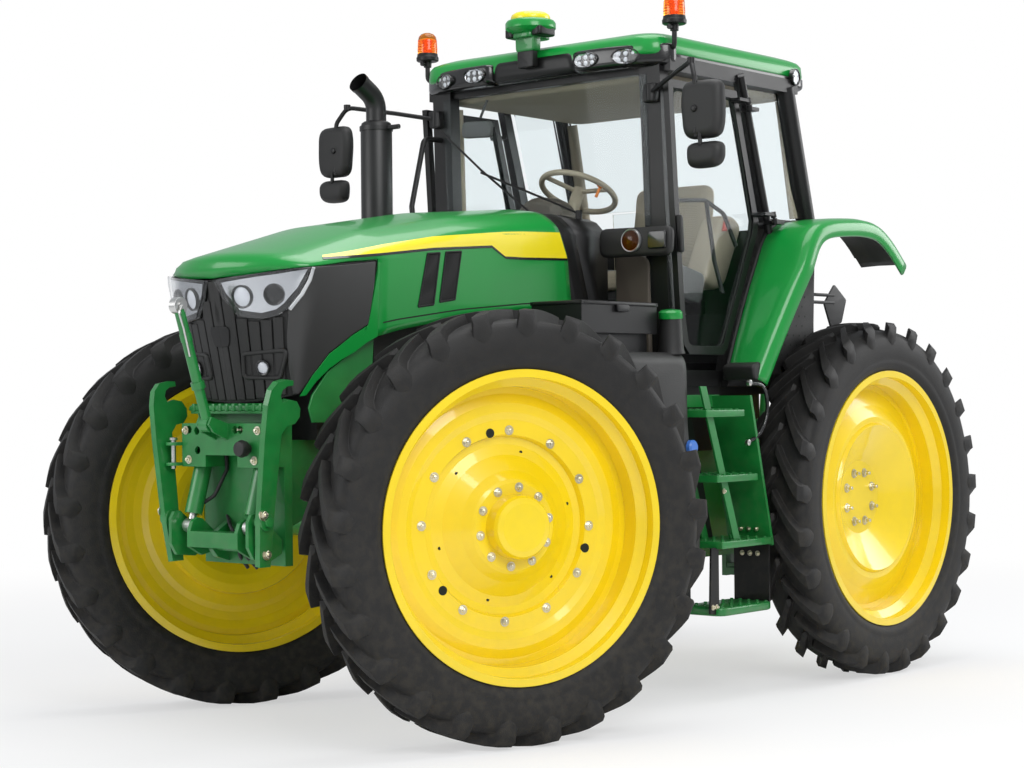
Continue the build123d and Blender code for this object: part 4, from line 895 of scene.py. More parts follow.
def hood_skin(shape, first, second, proud, back, side, rows=5, steps=6):
    """Slab on the hood between two lines of (ahead, y, z) points, from back to proud of its surface."""
    first, second = hood_line(first, steps), hood_line(second, steps)
    spots = [[a.lerp(b, k / rows) for a, b in zip(first, second)] for k in range(rows + 1)]
    outer, inner = ([[hood_point(*spot, lift, side) for spot in row] for row in spots]
                    for lift in (proud, back))
    shape.rows(outer).rows(inner)
    for k in (0, -1):
        shape.rows([outer[k], inner[k]])
        shape.rows([[row[k] for row in outer], [row[k] for row in inner]])
    return shape


def hood_panel(name, finish_name, first, second, proud, back, rows=5, **settings):
    """Piece of the hood with the same slab on both sides."""
    shape = Shape()
    for _, side in SIDES:
        hood_skin(shape, first, second, proud, back, side, rows)
    shape.piece(name, finish_name, "hood", **settings)


class TRACTOR_OT_hood(bpy.types.Operator):
    """Makes the smooth hood with its stripe, side panels, louvres, nose and lamps"""

    bl_idname = "tractor.hood"
    bl_label = "Hood"

    stripe_top = [(3.395, 0.397, 2.060), (3.056, 0.411, 2.119), (2.727, 0.41, 2.171), (2.361, 0.415, 2.206),
                  (2.253, 0.415, 2.216), (2.126, 0.417, 2.224), (1.856, 0.42, 2.234)]
    stripe_foot = [(3.401, 0.402, 2.050), (3.080, 0.434, 2.080), (2.744, 0.426, 2.119),
                   (2.345, 0.42, 2.149), (2.253, 0.42, 2.103), (2.126, 0.42, 2.104), (1.800, 0.42, 2.114)]
    panel_rear = [(3.118, 0.43, 2.042), (3.121, 0.427, 1.937), (3.146, 0.414, 1.775), (3.229, 0.402, 1.731),
                  (3.345, 0.38, 1.653), (3.418, 0.354, 1.563), (3.465, 0.323, 1.481)]
    panel_front = [(3.484, 0.43, 2.004), (3.500, 0.42, 1.95), (3.52, 0.392, 1.895), (3.541, 0.343, 1.832),
                   (3.545, 0.33, 1.72), (3.535, 0.325, 1.60), (3.49, 0.31, 1.478)]
    band_foot = [(3.09, 0.41, 1.724), (3.15, 0.407, 1.695), (3.214, 0.397, 1.654), (3.275, 0.385, 1.625),
                 (3.338, 0.371, 1.585), (3.395, 0.35, 1.53), (3.437, 0.334, 1.474)]
    band_top = [(3.09, 0.42, 2.047), (3.119, 0.42, 1.90), (3.146, 0.414, 1.770), (3.229, 0.402, 1.726),
                (3.345, 0.38, 1.648), (3.418, 0.354, 1.558), (3.465, 0.323, 1.470)]
    louvres = (((2.783, 2.091), (2.702, 2.098), (2.742, 1.869), (2.840, 1.857)),
               ((2.660, 2.103), (2.557, 2.111), (2.601, 1.896), (2.701, 1.882)))

    def shell(self):
        """Flanks and top as one skin, down to the arch line and round to the nose's lip."""
        low_steps, top_steps, lengths, turns = 9, 22, 22, 36
        lip = hood_line(LIP, 12)

        def section(share):
            """Points up the left flank to the crown, that share of the way from rear edge to nose."""
            row = []
            for k in range(low_steps + top_steps + 1):
                x, point = HOOD_START + (NOSE - HOOD_START) * share, None
                for _ in range(3):      # settles the row's start on the rear edge
                    waist = 2.10 - 0.048 * (x - HOOD_START) / (NOSE - HOOD_START)
                    angles = [atan2(z - HOOD_CORE, cast((x, 0, z), (0, 1, 0)))
                              for z in (between(ARCH_LINE, x), waist)]
                    if k <= low_steps:
                        angle = angles[0] + (angles[1] - angles[0]) * k / low_steps
                    else:
                        angle = angles[1] + (pi / 2 - angles[1]) * (k - low_steps) / top_steps
                    way = (0, cos(angle), sin(angle))
                    reach = cast((x, 0, HOOD_CORE), way)
                    point = (x, way[1] * reach, HOOD_CORE + way[2] * reach)
                    rear = between(HOOD_REAR, point[2])
                    x = rear + (NOSE - rear) * share
                row.append(point)
            return row

        rows = [section((i / lengths) ** 1.15) for i in range(lengths + 1)]
        whole = [[at(*p) for p in row] + [at(x, -y, z) for x, y, z in reversed(row[:-1])] for row in rows]
        shape = Shape().rows(whole)
        fan = []
        for i in range(2 * turns + 1):
            turn = pi / 2 * (1 - i / turns)
            run = NOSE + NOSE_RUN * (1 - abs(turn) * 2 / pi)
            lip_z = next((a.y + (b.y - a.y) * (run - a.x) / (b.x - a.x)
                          for a, b in zip(lip, lip[1:]) if a.x - 1e-6 <= run <= b.x + 1e-6), LIP[-1][2])
            flat = (cos(turn), sin(turn), 0)
            lift = atan2(lip_z - HOOD_CORE, cast((NOSE, 0, lip_z), flat))
            row = []
            for k in range(top_steps + 1):
                angle = lift + (pi / 2 - lift) * k / top_steps
                way = (cos(angle) * flat[0], cos(angle) * flat[1], sin(angle))
                reach = cast((NOSE, 0, HOOD_CORE), way)
                row.append(at(NOSE + way[0] * reach, way[1] * reach, HOOD_CORE + way[2] * reach))
            fan.append(row)
        return shape.rows(fan)

    def execute(self, context):
        self.shell().piece("hood_shell", "body_green", "hood", replaces=("hood",), angle=50, merge=4e-4,
                           thick=0.008, core=at(2.7, 0, 1.8))
        hood_panel("hood_arch_band", "body_green", self.band_top, self.band_foot, 0.0005, -0.012,
                   bevel=0.003)
        hood_panel("hood_side_panels", "panel_grey", self.panel_rear, self.panel_front, 0.003, -0.012,
                   rows=8, bevel=0.003)
        hood_panel("hood_stripe", "stripe_yellow", self.stripe_top, self.stripe_foot, 0.0016, -0.002,
                   rows=3)
        under = [(x, y, z - 0.011) for x, y, z in self.stripe_foot]
        under[4] = (under[4][0] - 0.007, *under[4][1:])
        hood_panel("hood_stripe_underline", "gloss_black", self.stripe_foot, under, 0.0018, -0.002, rows=1)
        # Thin dark strips along the hood's seam: painted shade in its shut line.
        seam = [(1.80, 0.42, 1.911), (2.129, 0.42, 1.892), (2.559, 0.42, 1.855), (2.961, 0.42, 1.803),
                (3.06, 0.418, 1.786)]
        lower_seam = [(x, y, z - 0.006) for x, y, z in seam]
        hood_panel("hood_shut_lines", "gap_shade_and_seal", seam, lower_seam, 0.0006, -0.002, rows=1)
        frames, meshes = Shape(), Shape()
        for _, side in SIDES:
            for a, b, c, d in self.louvres:
                top, foot = ([(x, 0.42, z) for x, z in pair] for pair in ((a, b), (d, c)))
                hood_skin(meshes, top, foot, 0.0012, -0.003, side)
                loop = [hood_point(x, z, 0.001, side) for x, z in (a, b, c, d)]
                for start, end in zip(loop, loop[1:] + loop[:1]):
                    frames.bar(start, end, 0.0045, sides=8)
        meshes.piece("hood_louvre_mesh", "mesh_black", "hood")
        frames.piece("hood_louvre_frames", "satin_black", "hood")
        self.nose()
        return {"FINISHED"}

    def nose(self):
        """Dark insert of the nose with its ribs and the bare plate in their midst."""
        top = [(3.10, 0.433, 2.046), (3.298, 0.435, 2.030), (3.484, 0.43, 2.006), (3.581, 0.323, 1.988),
               (3.631, 0.186, 1.970), (3.657, 0.0, 1.962)]
        foot = [(3.12, 0.41, 1.780), (3.345, 0.38, 1.655), (3.465, 0.323, 1.481), (3.52, 0.25, 1.462),
                (3.54, 0.13, 1.450), (3.552, 0.0, 1.445)]
        hood_panel("nose_screen", "moulded_black", top, foot, -0.009, -0.022, rows=8, replaces=("grille",),
                   merge=3e-4)
        edges = ((0.031, 0.029), (0.095, 0.083), (0.155, 0.135), (0.215, 0.187), (0.272, 0.235),
                 (0.322, 0.285))
        tops = (1.955, 1.875, 1.797, 1.783, 1.788, 1.800)
        ribs = Shape()

        def front(y, z):
            """Point near the nose's face."""
            return (FACE_MIDDLE[0] + (z - FACE_FOOT) * 0.2 - 0.6 * y * y, y, z)

        for _, side in SIDES:
            for k, peak in enumerate(tops):
                inner = (0.0, 0.0) if k == 0 else tuple(e + 0.007 for e in edges[k - 1])
                outer = edges[k]
                levels = [peak - (peak - 1.456 - 0.02 * (k / 5) ** 2) * i / 4 for i in range(5)]
                lines = [[front(low + (high - low) * (z - 1.46) / 0.34, z) for z in levels]
                         for high, low in (inner, outer)]
                hood_skin(ribs, lines[0], lines[1], 0.002, -0.012, side, rows=2, steps=2)
        ribs.piece("grille_ribs", "moulded_black", "hood", bevel=0.003, merge=3e-4)
        plate_top = [(3.61, 0.0, 1.768), (3.61, 0.048, 1.765), (3.608, 0.058, 1.750)]
        plate_foot = [(3.60, 0.0, 1.680), (3.60, 0.040, 1.683), (3.60, 0.050, 1.700)]
        hood_panel("nose_blank_plate", "satin_black", plate_top, plate_foot, 0.007, -0.004, bevel=0.002,
                   merge=3e-4)
        self.lamps()

    bezel_top = [(3.656, 0.024, 1.960), (3.640, 0.12, 1.970), (3.612, 0.24, 1.981), (3.578, 0.33, 1.990),
                 (3.52, 0.40, 2.000), (3.489, 0.43, 2.004)]
    bezel_foot = [(3.636, 0.062, 1.885), (3.613, 0.125, 1.806), (3.583, 0.232, 1.792),
                  (3.558, 0.305, 1.808), (3.54, 0.345, 1.836), (3.519, 0.395, 1.90)]
    bowl_top = [(3.650, 0.058, 1.948), (3.638, 0.13, 1.956), (3.608, 0.24, 1.968), (3.575, 0.325, 1.977),
                (3.53, 0.39, 1.988), (3.503, 0.42, 1.994)]
    bowl_foot = [(3.642, 0.075, 1.905), (3.62, 0.135, 1.832), (3.59, 0.235, 1.818), (3.567, 0.298, 1.832),
                 (3.553, 0.330, 1.856), (3.527, 0.383, 1.918)]

    def lamps(self):
        """Headlights with their bezels, bowls and covers, and the small lamps low in the nose."""
        hood_panel("headlight_bezels", "gloss_black", self.bezel_top, self.bezel_foot, 0.004, -0.012,
                   bevel=0.002, replaces=("headlights",))
        hood_panel("headlight_bowls", "lamp_silver", self.bowl_top, self.bowl_foot, 0.0055, 0.0)
        hood_panel("headlight_covers", "lens_clear", self.bezel_top, self.bezel_foot, 0.020, 0.017)
        inner = [(3.488, 0.430, 2.004), (3.502, 0.419, 1.952), (3.521, 0.393, 1.895), (3.542, 0.343, 1.832)]
        outer = [(3.474, 0.434, 2.002), (3.488, 0.427, 1.948), (3.508, 0.401, 1.888), (3.531, 0.350, 1.824)]
        hood_panel("headlight_trims", "silver_trim", inner, outer, 0.010, -0.004, rows=2, bevel=0.002)
        rings, bright, dark, fog_frames, fog_glass = (Shape() for _ in range(5))
        for _, side in SIDES:
            for x, y, z, size, glow in ((3.624, 0.156, 1.888, 0.050, True),
                                        (3.575, 0.296, 1.893, 0.046, False),
                                        (3.552, 0.200, 1.592, 0.034, True)):
                spot = hood_line([(x, y, z), (x, y, z)], 1)[0]
                centre = hood_point(*spot, 0.004, side)
                facing = hood_normal(centre)
                rings.turned([(-0.004, size), (0.008, size), (0.010, size - 0.003), (0.008, size - 0.008),
                              (-0.004, size - 0.009)], centre, facing, steps=32, closed=True)
                lens = bright if glow else dark
                lens.turned([(-0.004, size - 0.008), (0.002, size - 0.009), (0.005, size * 0.55),
                             (0.007, 0.0), (-0.004, 0.0)], centre, facing, steps=32)
            corners = ((3.581, 0.112, 1.650), (3.522, 0.315, 1.664), (3.520, 0.270, 1.548),
                       (3.564, 0.100, 1.552))
            loop = [hood_point(*hood_line([c, c], 1)[0], 0.004, side) for c in corners]
            middle = sum(loop, Vector()) / 4
            start = loop[0].lerp(loop[1], 0.5)
            path = rounded([start] + loop[1:] + loop[:1] + [start], 0.02)
            fog_frames.tube(path, 0.010, bend=0.004, sides=10, ends=False)
            fog_glass.rows([path[:-1], [middle.lerp(p, 0.02) for p in path[:-1]]], closed=True)
        rings.piece("lamp_rings", "gloss_black", "hood")
        bright.piece("lamp_lenses", "lamp_led", "hood")
        dark.piece("lamp_dark_lenses", "gloss_black", "hood")
        fog_frames.piece("fog_lamp_frames", "moulded_black", "hood", merge=3e-4)
        fog_glass.piece("fog_lamp_pans", "satin_black", "hood", merge=3e-4)


# ------------------------------------------------------------------ roof, lamps and mirrors
def oval_lamp(name, body, spots, width, height):
    """Work lamps of several small lights in a bright bowl, as four pieces."""
    frames, bowls, lights, covers = Shape(), Shape(), Shape(), Shape()
    for centre, facing in spots:
        facing = Vector(facing).normalized()
        frames.oval([(-0.012, 1.0), (0.008, 1.0), (0.012, 0.95), (0.009, 0.88), (-0.004, 0.86),
                     (-0.012, 0.86)], centre, facing, width, height, closed=True)
        bowls.oval([(0.002, 0.87), (-0.004, 0.6), (-0.005, 0.0), (-0.012, 0.0), (-0.012, 0.87)],
                   centre, facing, width, height)
        covers.oval([(0.004, 0.0), (0.004, 0.86), (0.006, 0.86), (0.010, 0.5), (0.011, 0.0)],
                    centre, facing, width, height)
        level = Vector((0, 0, 1)).cross(facing).normalized()
        up = facing.cross(level)
        across = (-0.52, 0.0, 0.52) if width > height * 1.1 else (-0.34, 0.34)
        for u in across:
            for v in (-0.36, 0.36):
                spot = Vector(centre) + level * u * width / 2 + up * v * height / 2
                lights.oval([(0.006, 0.0), (0.005, 0.6), (0.0, 1.0), (-0.006, 1.0), (-0.006, 0.0)], spot,
                            facing, height * 0.30, height * 0.30, steps=14)
    frames.piece(name + "_rings", "gloss_black", body)
    bowls.piece(name + "_bowls", "lamp_silver", body)
    lights.piece(name + "_lights", "lamp_led", body)
    covers.piece(name + "_covers", "lens_clear", body)


class TRACTOR_OT_roof(bpy.types.Operator):
    """Makes the roof cap, its lamp housings, the receiver, the beacons and the mirrors"""

    bl_idname = "tractor.roof"
    bl_label = "Roof"

    plan = [(1.535, -0.765), (1.535, 0.765), (0.185, 0.765), (0.185, -0.765)]
    rail = [(1.50, -0.62), (1.50, 0.62), (1.44, 0.775), (0.25, 0.775), (0.19, 0.69), (0.19, -0.69),
            (0.25, -0.775), (1.44, -0.775)]

    def execute(self, context):
        cap = [(3.088, 0.012), (3.096, 0.003), (3.110, 0.0), (3.160, 0.004), (3.178, 0.016), (3.192, 0.044),
               (3.206, 0.085), (3.222, 0.160), (3.236, 0.250), (3.245, 0.340), (3.249, 0.440),
               (3.250, 0.55)]
        Shape().stack(self.plan, cap, plan_view, bend=0.13,
                      steps=6).piece("roof_panel", "body_green", replaces=("roof_cap",), angle=50)
        Shape().block(self.rail, plan_view, 3.040, 3.096, 0.022, 0.004, bend=0.09,
                      steps=6).piece("roof_rail", "gloss_black", replaces=("roof_base",), angle=50)
        pods, spots = Shape(), []
        for _, side in SIDES:
            outline = [(1.40, side * 0.25), (1.566, side * 0.26), (1.566, side * 0.45),
                       (1.528, side * 0.66), (1.462, side * 0.785), (1.38, side * 0.785)]
            pods.block(outline, plan_view, 3.036, 3.142, 0.032, 0.016, bend=0.05)
            spots += [(at(1.567, side * 0.36, 3.090), (1, side * 0.03, -0.05)),
                      (at(1.541, side * 0.585, 3.086), (0.94, side * 0.30, -0.06))]
        pods.piece("roof_lamp_housings", "gloss_black", angle=50)
        oval_lamp("roof_lamps", "chassis", spots, 0.150, 0.080)
        rear = [(at(0.36, side * 0.782, 3.095), (-0.15, side, -0.05)) for _, side in SIDES]
        rear += [(at(0.186, side * 0.55, 3.09), (-1, 0, -0.05)) for _, side in SIDES]
        oval_lamp("roof_rear_lamps", "chassis", rear, 0.094, 0.088)
        front = Shape().block([(-0.27, 3.045), (0.27, 3.045), (0.25, 3.150), (-0.25, 3.150)], front_view,
                              1.44, 1.545, 0.01, 0.03, bend=0.03)
        front.piece("roof_front_panel", "satin_black", angle=45)
        self.receiver()
        self.beacons()
        self.mirrors()
        return {"FINISHED"}

    def receiver(self):
        """Round receiver on its bracket in front of the roof."""
        body, top, foot = Shape(), Shape(), Shape()
        centre = at(1.55, 0, 3.26)
        body.turned([(0.0, 0.0), (0.0, 0.088), (0.012, 0.112), (0.026, 0.126), (0.052, 0.126),
                     (0.064, 0.118), (0.070, 0.100), (0.070, 0.0)], centre, steps=56)
        top.turned([(0.068, 0.0), (0.068, 0.096), (0.080, 0.099), (0.094, 0.094), (0.104, 0.078),
                    (0.109, 0.040), (0.110, 0.0)], centre, steps=56)
        foot.block([(-0.058, 3.17), (0.058, 3.17), (0.062, 3.262), (-0.062, 3.262)], front_view, 1.540,
                   1.602, 0.01, bend=0.015)
        foot.block(rect(1.46, 1.63, -0.06, 0.06), plan_view, 3.236, 3.262, 0.006, bend=0.03)
        foot.piece("receiver_bracket", "casting_green")
        lugs = Shape()
        for y in (-0.085, 0.085):
            lugs.block(rect(1.49, 1.62, y - 0.03, y + 0.03), plan_view, 3.243, 3.290, 0.008, bend=0.02)
        lugs.block(rect(-0.05, 0.05, 3.09, 3.175), front_view, 1.555, 1.598, 0.006, bend=0.01)
        lugs.piece("receiver_feet", "satin_black")
        body.piece("receiver_body", "body_green", replaces=("receiver",), angle=40)
        top.piece("receiver_top", "stripe_yellow", angle=40)

    def beacons(self):
        """Amber beacons on their stalks."""
        bases, domes, cores, stalks = Shape(), Shape(), Shape(), Shape()
        for _, side in SIDES:
            foot = at(1.44, side * 0.80, 0)
            up = (0, 0, 1)
            stalks.tube([at(1.40, side * 0.74, 3.118), at(1.44, side * 0.80, 3.122),
                         at(1.44, side * 0.80, 3.235)], 0.0125, bend=0.03)
            stalks.turned([(3.196, 0.0), (3.196, 0.020), (3.228, 0.022), (3.228, 0.0)], foot, up, steps=24)
            stalks.bar(at(1.425, side * 0.80, 3.212), at(1.478, side * 0.80, 3.212), 0.007, sides=10)
            stalks.turned([(0.0, 0.0), (0.0, 0.013), (0.010, 0.013), (0.010, 0.0)],
                          at(1.474, side * 0.80, 3.212), (1, 0, 0), steps=14)
            bases.turned([(3.226, 0.0), (3.226, 0.052), (3.230, 0.058), (3.246, 0.059), (3.252, 0.055),
                          (3.266, 0.053), (3.266, 0.0)], foot, up, steps=40)
            domes.turned([(3.267, 0.0), (3.267, 0.0515), (3.290, 0.0525), (3.336, 0.0500), (3.356, 0.0450),
                          (3.369, 0.0340), (3.376, 0.0180), (3.378, 0.0)], foot, up, steps=40)
            cores.turned([(3.268, 0.0), (3.268, 0.020), (3.300, 0.016), (3.335, 0.020), (3.345, 0.0)], foot,
                         up, steps=24)
            for k in range(5):
                cores.turned([(0, 0.0465), (0, 0.0495), (0.003, 0.0495), (0.003, 0.0465)],
                             foot + Vector((0, 0, 3.285 + 0.012 * k)), up, steps=32, closed=True)
        stalks.piece("beacon_stalks", "satin_black")
        bases.piece("beacon_bases", "satin_black")
        cores.piece("beacon_reflectors", "lens_amber_core")
        domes.piece("beacon_domes", "lens_amber", replaces=("beacons",), angle=50)

    def mirrors(self):
        """Mirror heads with their glasses and arms."""
        heads, glasses, arms = Shape(), Shape(), Shape()
        upper = [(1.080, 2.622), (1.270, 2.622), (1.292, 2.70), (1.288, 2.885), (1.080, 2.890),
                 (1.062, 2.80)]
        lower = [(1.105, 2.488), (1.250, 2.488), (1.288, 2.525), (1.286, 2.607), (1.100, 2.607),
                 (1.092, 2.55)]
        for _, side in SIDES:
            for outline in (upper, lower):
                loop = mirrored(outline, side)
                heads.block(loop, front_view, 1.727, 1.788, 0.006, 0.040, bend=0.055, steps=6, turns=6)
                glasses.stack(loop, [(1.7262, 0.016), (1.7274, 0.016)], front_view, bend=0.05, steps=6)
            arms.tube([at(1.488, side * 0.690, 2.905), at(1.60, side * 0.88, 2.945),
                       at(1.735, side * 1.105, 2.985), at(1.772, side * 1.150, 2.900),
                       at(1.772, side * 1.156, 2.63)], 0.0115, bend=0.06)
            arms.turned([(-0.016, 0), (-0.011, 0.014), (0, 0.018), (0.011, 0.014), (0.016, 0)],
                        at(1.786, side * 1.156, 2.757), (1, 0, 0), steps=20)
            arms.tube([at(1.776, side * 1.176, 2.655), at(1.776, side * 1.180, 2.590)], 0.010)
            arms.block(mirrored([(0.655, 2.86), (0.725, 2.86), (0.735, 2.95), (0.665, 2.95)], side),
                       front_view, 1.452, 1.512, 0.008, bend=0.012)
            arms.bar(at(1.50, side * 0.695, 2.868), at(1.50, side * 0.695, 2.945), 0.018, sides=16)
            for x, y, z in ((1.735, 1.105, 2.985), (1.772, 1.156, 2.66)):
                arms.bar(at(x, side * y, z - 0.014), at(x, side * y, z + 0.014), 0.018, sides=16)
        heads.piece("mirror_heads", "moulded_black", replaces=("mirrors",), angle=50)
        glasses.piece("mirror_glasses", "mirror_glass")
        arms.piece("mirror_arms", "satin_black")


# ------------------------------------------------------------------ cab
class TRACTOR_OT_cab(bpy.types.Operator):
    """Makes the cowl band, dash, linings, seats, signal lamps, exhaust and door fittings"""

    bl_idname = "tractor.cab"
    bl_label = "Cab"

    def execute(self, context):
        self.cowl()
        self.dash()
        self.lining()
        self.seats()
        self.signals()
        self.exhaust()
        self.doors()
        return {"FINISHED"}

    def cowl(self):
        """Black band between hood and windscreen, with the scuttle, the hinge cheeks and the wiper."""
        half = [(0.405, 1.60), (0.420, 1.91), (0.422, 2.235), (0.404, 2.268), (0.352, 2.318), (0.30, 2.338),
                (0.15, 2.352), (0.0, 2.356)]
        ring = half + [(-y, z) for y, z in reversed(half[:-1])]

        rear_line = ((1.60, 1.60), (1.913, 1.627), (2.238, 1.735), (2.323, 1.753), (2.356, 1.735))
        front_line = ((1.60, 1.73), (1.85, 1.75), (2.10, 1.79), (2.262, 1.868), (2.356, 1.885))

        def row(share):
            """Points round the band, that share of the way from its rear edge to its front."""
            return [at(between(rear_line, z) + (between(front_line, z) - between(rear_line, z)) * share,
                       y * 0.988, z - 0.004) for y, z in ring]

        band = Shape().rows([row(share) for share in (0.0, 0.35, 0.7, 1.0)])
        band.piece("cowl_band", "satin_black", angle=40, thick=0.010, core=at(1.75, 0, 1.9),
                   replaces=("cowl",))
        scuttle = Shape().rows([[at(1.47, y * 0.97, z - 0.012) for y, z in ring], row(0.0)])
        scuttle.piece("cowl_scuttle", "satin_black", angle=40, thick=0.008, core=at(1.6, 0, 1.9))
        arms = Shape()
        for _, side in SIDES:
            for y in (0.213, 0.287):
                arms.block([(1.73, 2.288), (1.812, 2.288), (1.808, 2.330), (1.73, 2.330)], side_view,
                           side * (y - 0.007), side * (y + 0.007), 0.002, bend=0.012)
        arms.piece("hood_hinge_cheeks", "satin_black")
        wiper = Shape()
        wiper.tube([at(1.60, 0.335, 2.345), at(1.555, 0.10, 2.43), at(1.535, -0.35, 2.60)], 0.006, sides=8)
        wiper.tube([at(1.512, -0.02, 2.36), at(1.532, -0.36, 2.62), at(1.545, -0.62, 2.84)], 0.006, sides=8)
        wiper.bar(at(1.60, 0.335, 2.315), at(1.60, 0.335, 2.360), 0.016, sides=16)
        wiper.piece("front_wiper", "satin_black")

    def dash(self):
        """Instrument housing, consoles and levers."""
        hood, column, knob = Shape(), Shape(), Shape()
        housing = [(-0.235, 2.25), (-0.235, 2.37), (-0.19, 2.44), (-0.10, 2.472), (0.01, 2.452),
                   (0.085, 2.39), (0.10, 2.25)]
        hood.block(housing, front_view, 1.29, 1.425, 0.018, 0.040, bend=0.05, steps=5)
        hood.turned([(0, 0), (0, 0.040), (0.012, 0.036), (0.016, 0.0)], at(1.424, 0.05, 2.385),
                    (1, 0.2, 0.1), steps=28)
        hood.piece("dash_housing", "dash_brown", replaces=("consoles",), angle=45)
        column.block([(1.41, 1.53), (1.24, 1.53), (1.20, 2.15), (1.215, 2.30), (1.425, 2.31), (1.41, 2.0)],
                     side_view, -0.168, 0.168, 0.03, bend=0.05)
        column.block([(0.335, 1.88), (0.86, 1.88), (0.86, 2.03), (0.74, 2.145), (0.335, 2.15)], side_view,
                     -0.638, -0.332, 0.03, bend=0.05)
        column.piece("cab_consoles", "cab_grey", angle=45)
        knob.turned([(0, 0), (0, 0.008), (0.05, 0.007), (0.055, 0.018), (0.075, 0.020), (0.085, 0.0)],
                    at(1.24, 0.16, 2.46), (-0.3, 0.3, 1), steps=16)
        knob.piece("shuttle_lever", "orange_knob", angle=45)
        levers = Shape()
        for x, y, z in ((0.78, -0.42, 2.12), (0.78, -0.50, 2.12), (0.70, -0.46, 2.145)):
            levers.bar(at(x, y, z), at(x + 0.02, y, z + 0.09), 0.006, sides=10)
            levers.turned([(0, 0), (0, 0.016), (0.035, 0.018), (0.045, 0.0)], at(x + 0.02, y, z + 0.085),
                          (0.2, 0, 1), steps=14)
        levers.piece("console_levers", "satin_black", angle=45)

    def lining(self):
        """Headliner, inner post covers, lower front panels, floor mat and cab mirror."""
        top = Shape().block([(1.40, -0.68), (1.40, 0.68), (0.30, 0.70), (0.30, -0.70)], plan_view, 2.985,
                            3.035, 0.03, 0.0, bend=0.08)
        for _, side in SIDES:
            top.tube([at(1.385, side * 0.64, 2.96), at(1.36, side * 0.648, 2.45),
                      at(1.315, side * 0.655, 1.70)], 0.030, sides=12)
            top.tube([at(0.36, side * 0.70, 2.98), at(0.235, side * 0.70, 2.38)], 0.035, sides=12)
        top.piece("cab_lining", "cab_tan", angle=45)
        lower, posts = Shape(), Shape()
        for _, side in SIDES:
            lower.block(mirrored([(0.440, 1.60), (0.640, 1.60), (0.640, 2.12), (0.440, 2.19)], side),
                        front_view, 1.418, 1.450, 0.008, bend=0.04)
            posts.tube([at(0.402, side * 0.748, 3.040), at(0.205, side * 0.748, 2.345)], 0.046, sides=24)
            posts.tube([at(0.865, side * 0.790, 3.040), at(0.640, side * 0.800, 2.270)], 0.020, sides=14)
        lower.piece("lower_front_panels", "dash_brown", angle=45)
        posts.piece("rear_post_covers", "satin_black", angle=45)
        mat = Shape().block([(1.40, -0.70), (1.40, 0.70), (0.58, 0.70), (0.58, -0.70)], plan_view, 1.522,
                            1.532, 0.004, bend=0.04)
        mat.piece("floor_mat", "cab_grey")
        hung = Shape()
        hung.tube([at(1.40, -0.42, 2.99), at(1.43, -0.44, 2.90)], 0.007, sides=8)
        hung.block([(-0.56, 2.80), (-0.36, 2.79), (-0.355, 2.875), (-0.555, 2.885)], front_view, 1.425,
                   1.450, 0.004, 0.010, bend=0.03)
        hung.piece("cab_mirror", "cab_grey")

    def cushion(self, name, outline, levels, place, bend):
        """Padded block with smooth swollen faces."""
        made = Shape().stack(outline, levels, place, bend=bend, steps=5)
        piece = made.piece(name, "seat_cloth", angle=60, replaces=(name.replace("_cloth", ""),))
        swelling = piece.modifiers.new("swelling", "SUBSURF")
        swelling.levels = swelling.render_levels = 1

    def seats(self):
        """Driver's cushion and backrest, and the folded second seat with its buckle."""

        def seat_side(a, b, level):
            """Side-view point, raised towards the cushion's middle."""
            swell = 0.010 * cos(pi * level / 0.50)
            return at(a, level, b) + Vector((0, 0, swell if b > 2.06 else 0))

        self.cushion("seat_cushion_cloth", [(0.385, 2.012), (0.845, 2.012), (0.866, 2.05), (0.855, 2.10),
                                            (0.80, 2.116), (0.60, 2.100), (0.44, 2.104), (0.385, 2.09)],
                     soft_levels(-0.240, 0.240, 0.045, steps=6), seat_side, 0.035)

        def back_side(a, b, level):
            """Side-view point, brought forward towards the backrest's middle."""
            return at(a + 0.012 * cos(pi * level / 0.5), level, b)

        self.cushion("seat_backrest_cloth", [(0.450, 2.110), (0.385, 2.106), (0.338, 2.13), (0.318, 2.30),
                                             (0.290, 2.50), (0.292, 2.570), (0.345, 2.588), (0.392, 2.560),
                                             (0.405, 2.44), (0.432, 2.30)],
                     soft_levels(-0.250, 0.250, 0.060, steps=6), back_side, 0.045)
        folded = Shape().block([(0.625, 2.385), (0.52, 2.385), (0.455, 2.33), (0.615, 2.02), (0.70, 1.99),
                                (0.80, 2.05)], side_view, 0.362, 0.518, 0.035, bend=0.04)
        folded.piece("folded_seat", "cab_tan", replaces=("passenger_seat",), angle=50)
        buckle = Shape().block([(0.60, 2.36), (0.635, 2.36), (0.66, 2.30), (0.625, 2.30)], side_view, 0.519,
                               0.533, 0.003, bend=0.006)
        buckle.piece("seat_buckle", "red_knob")

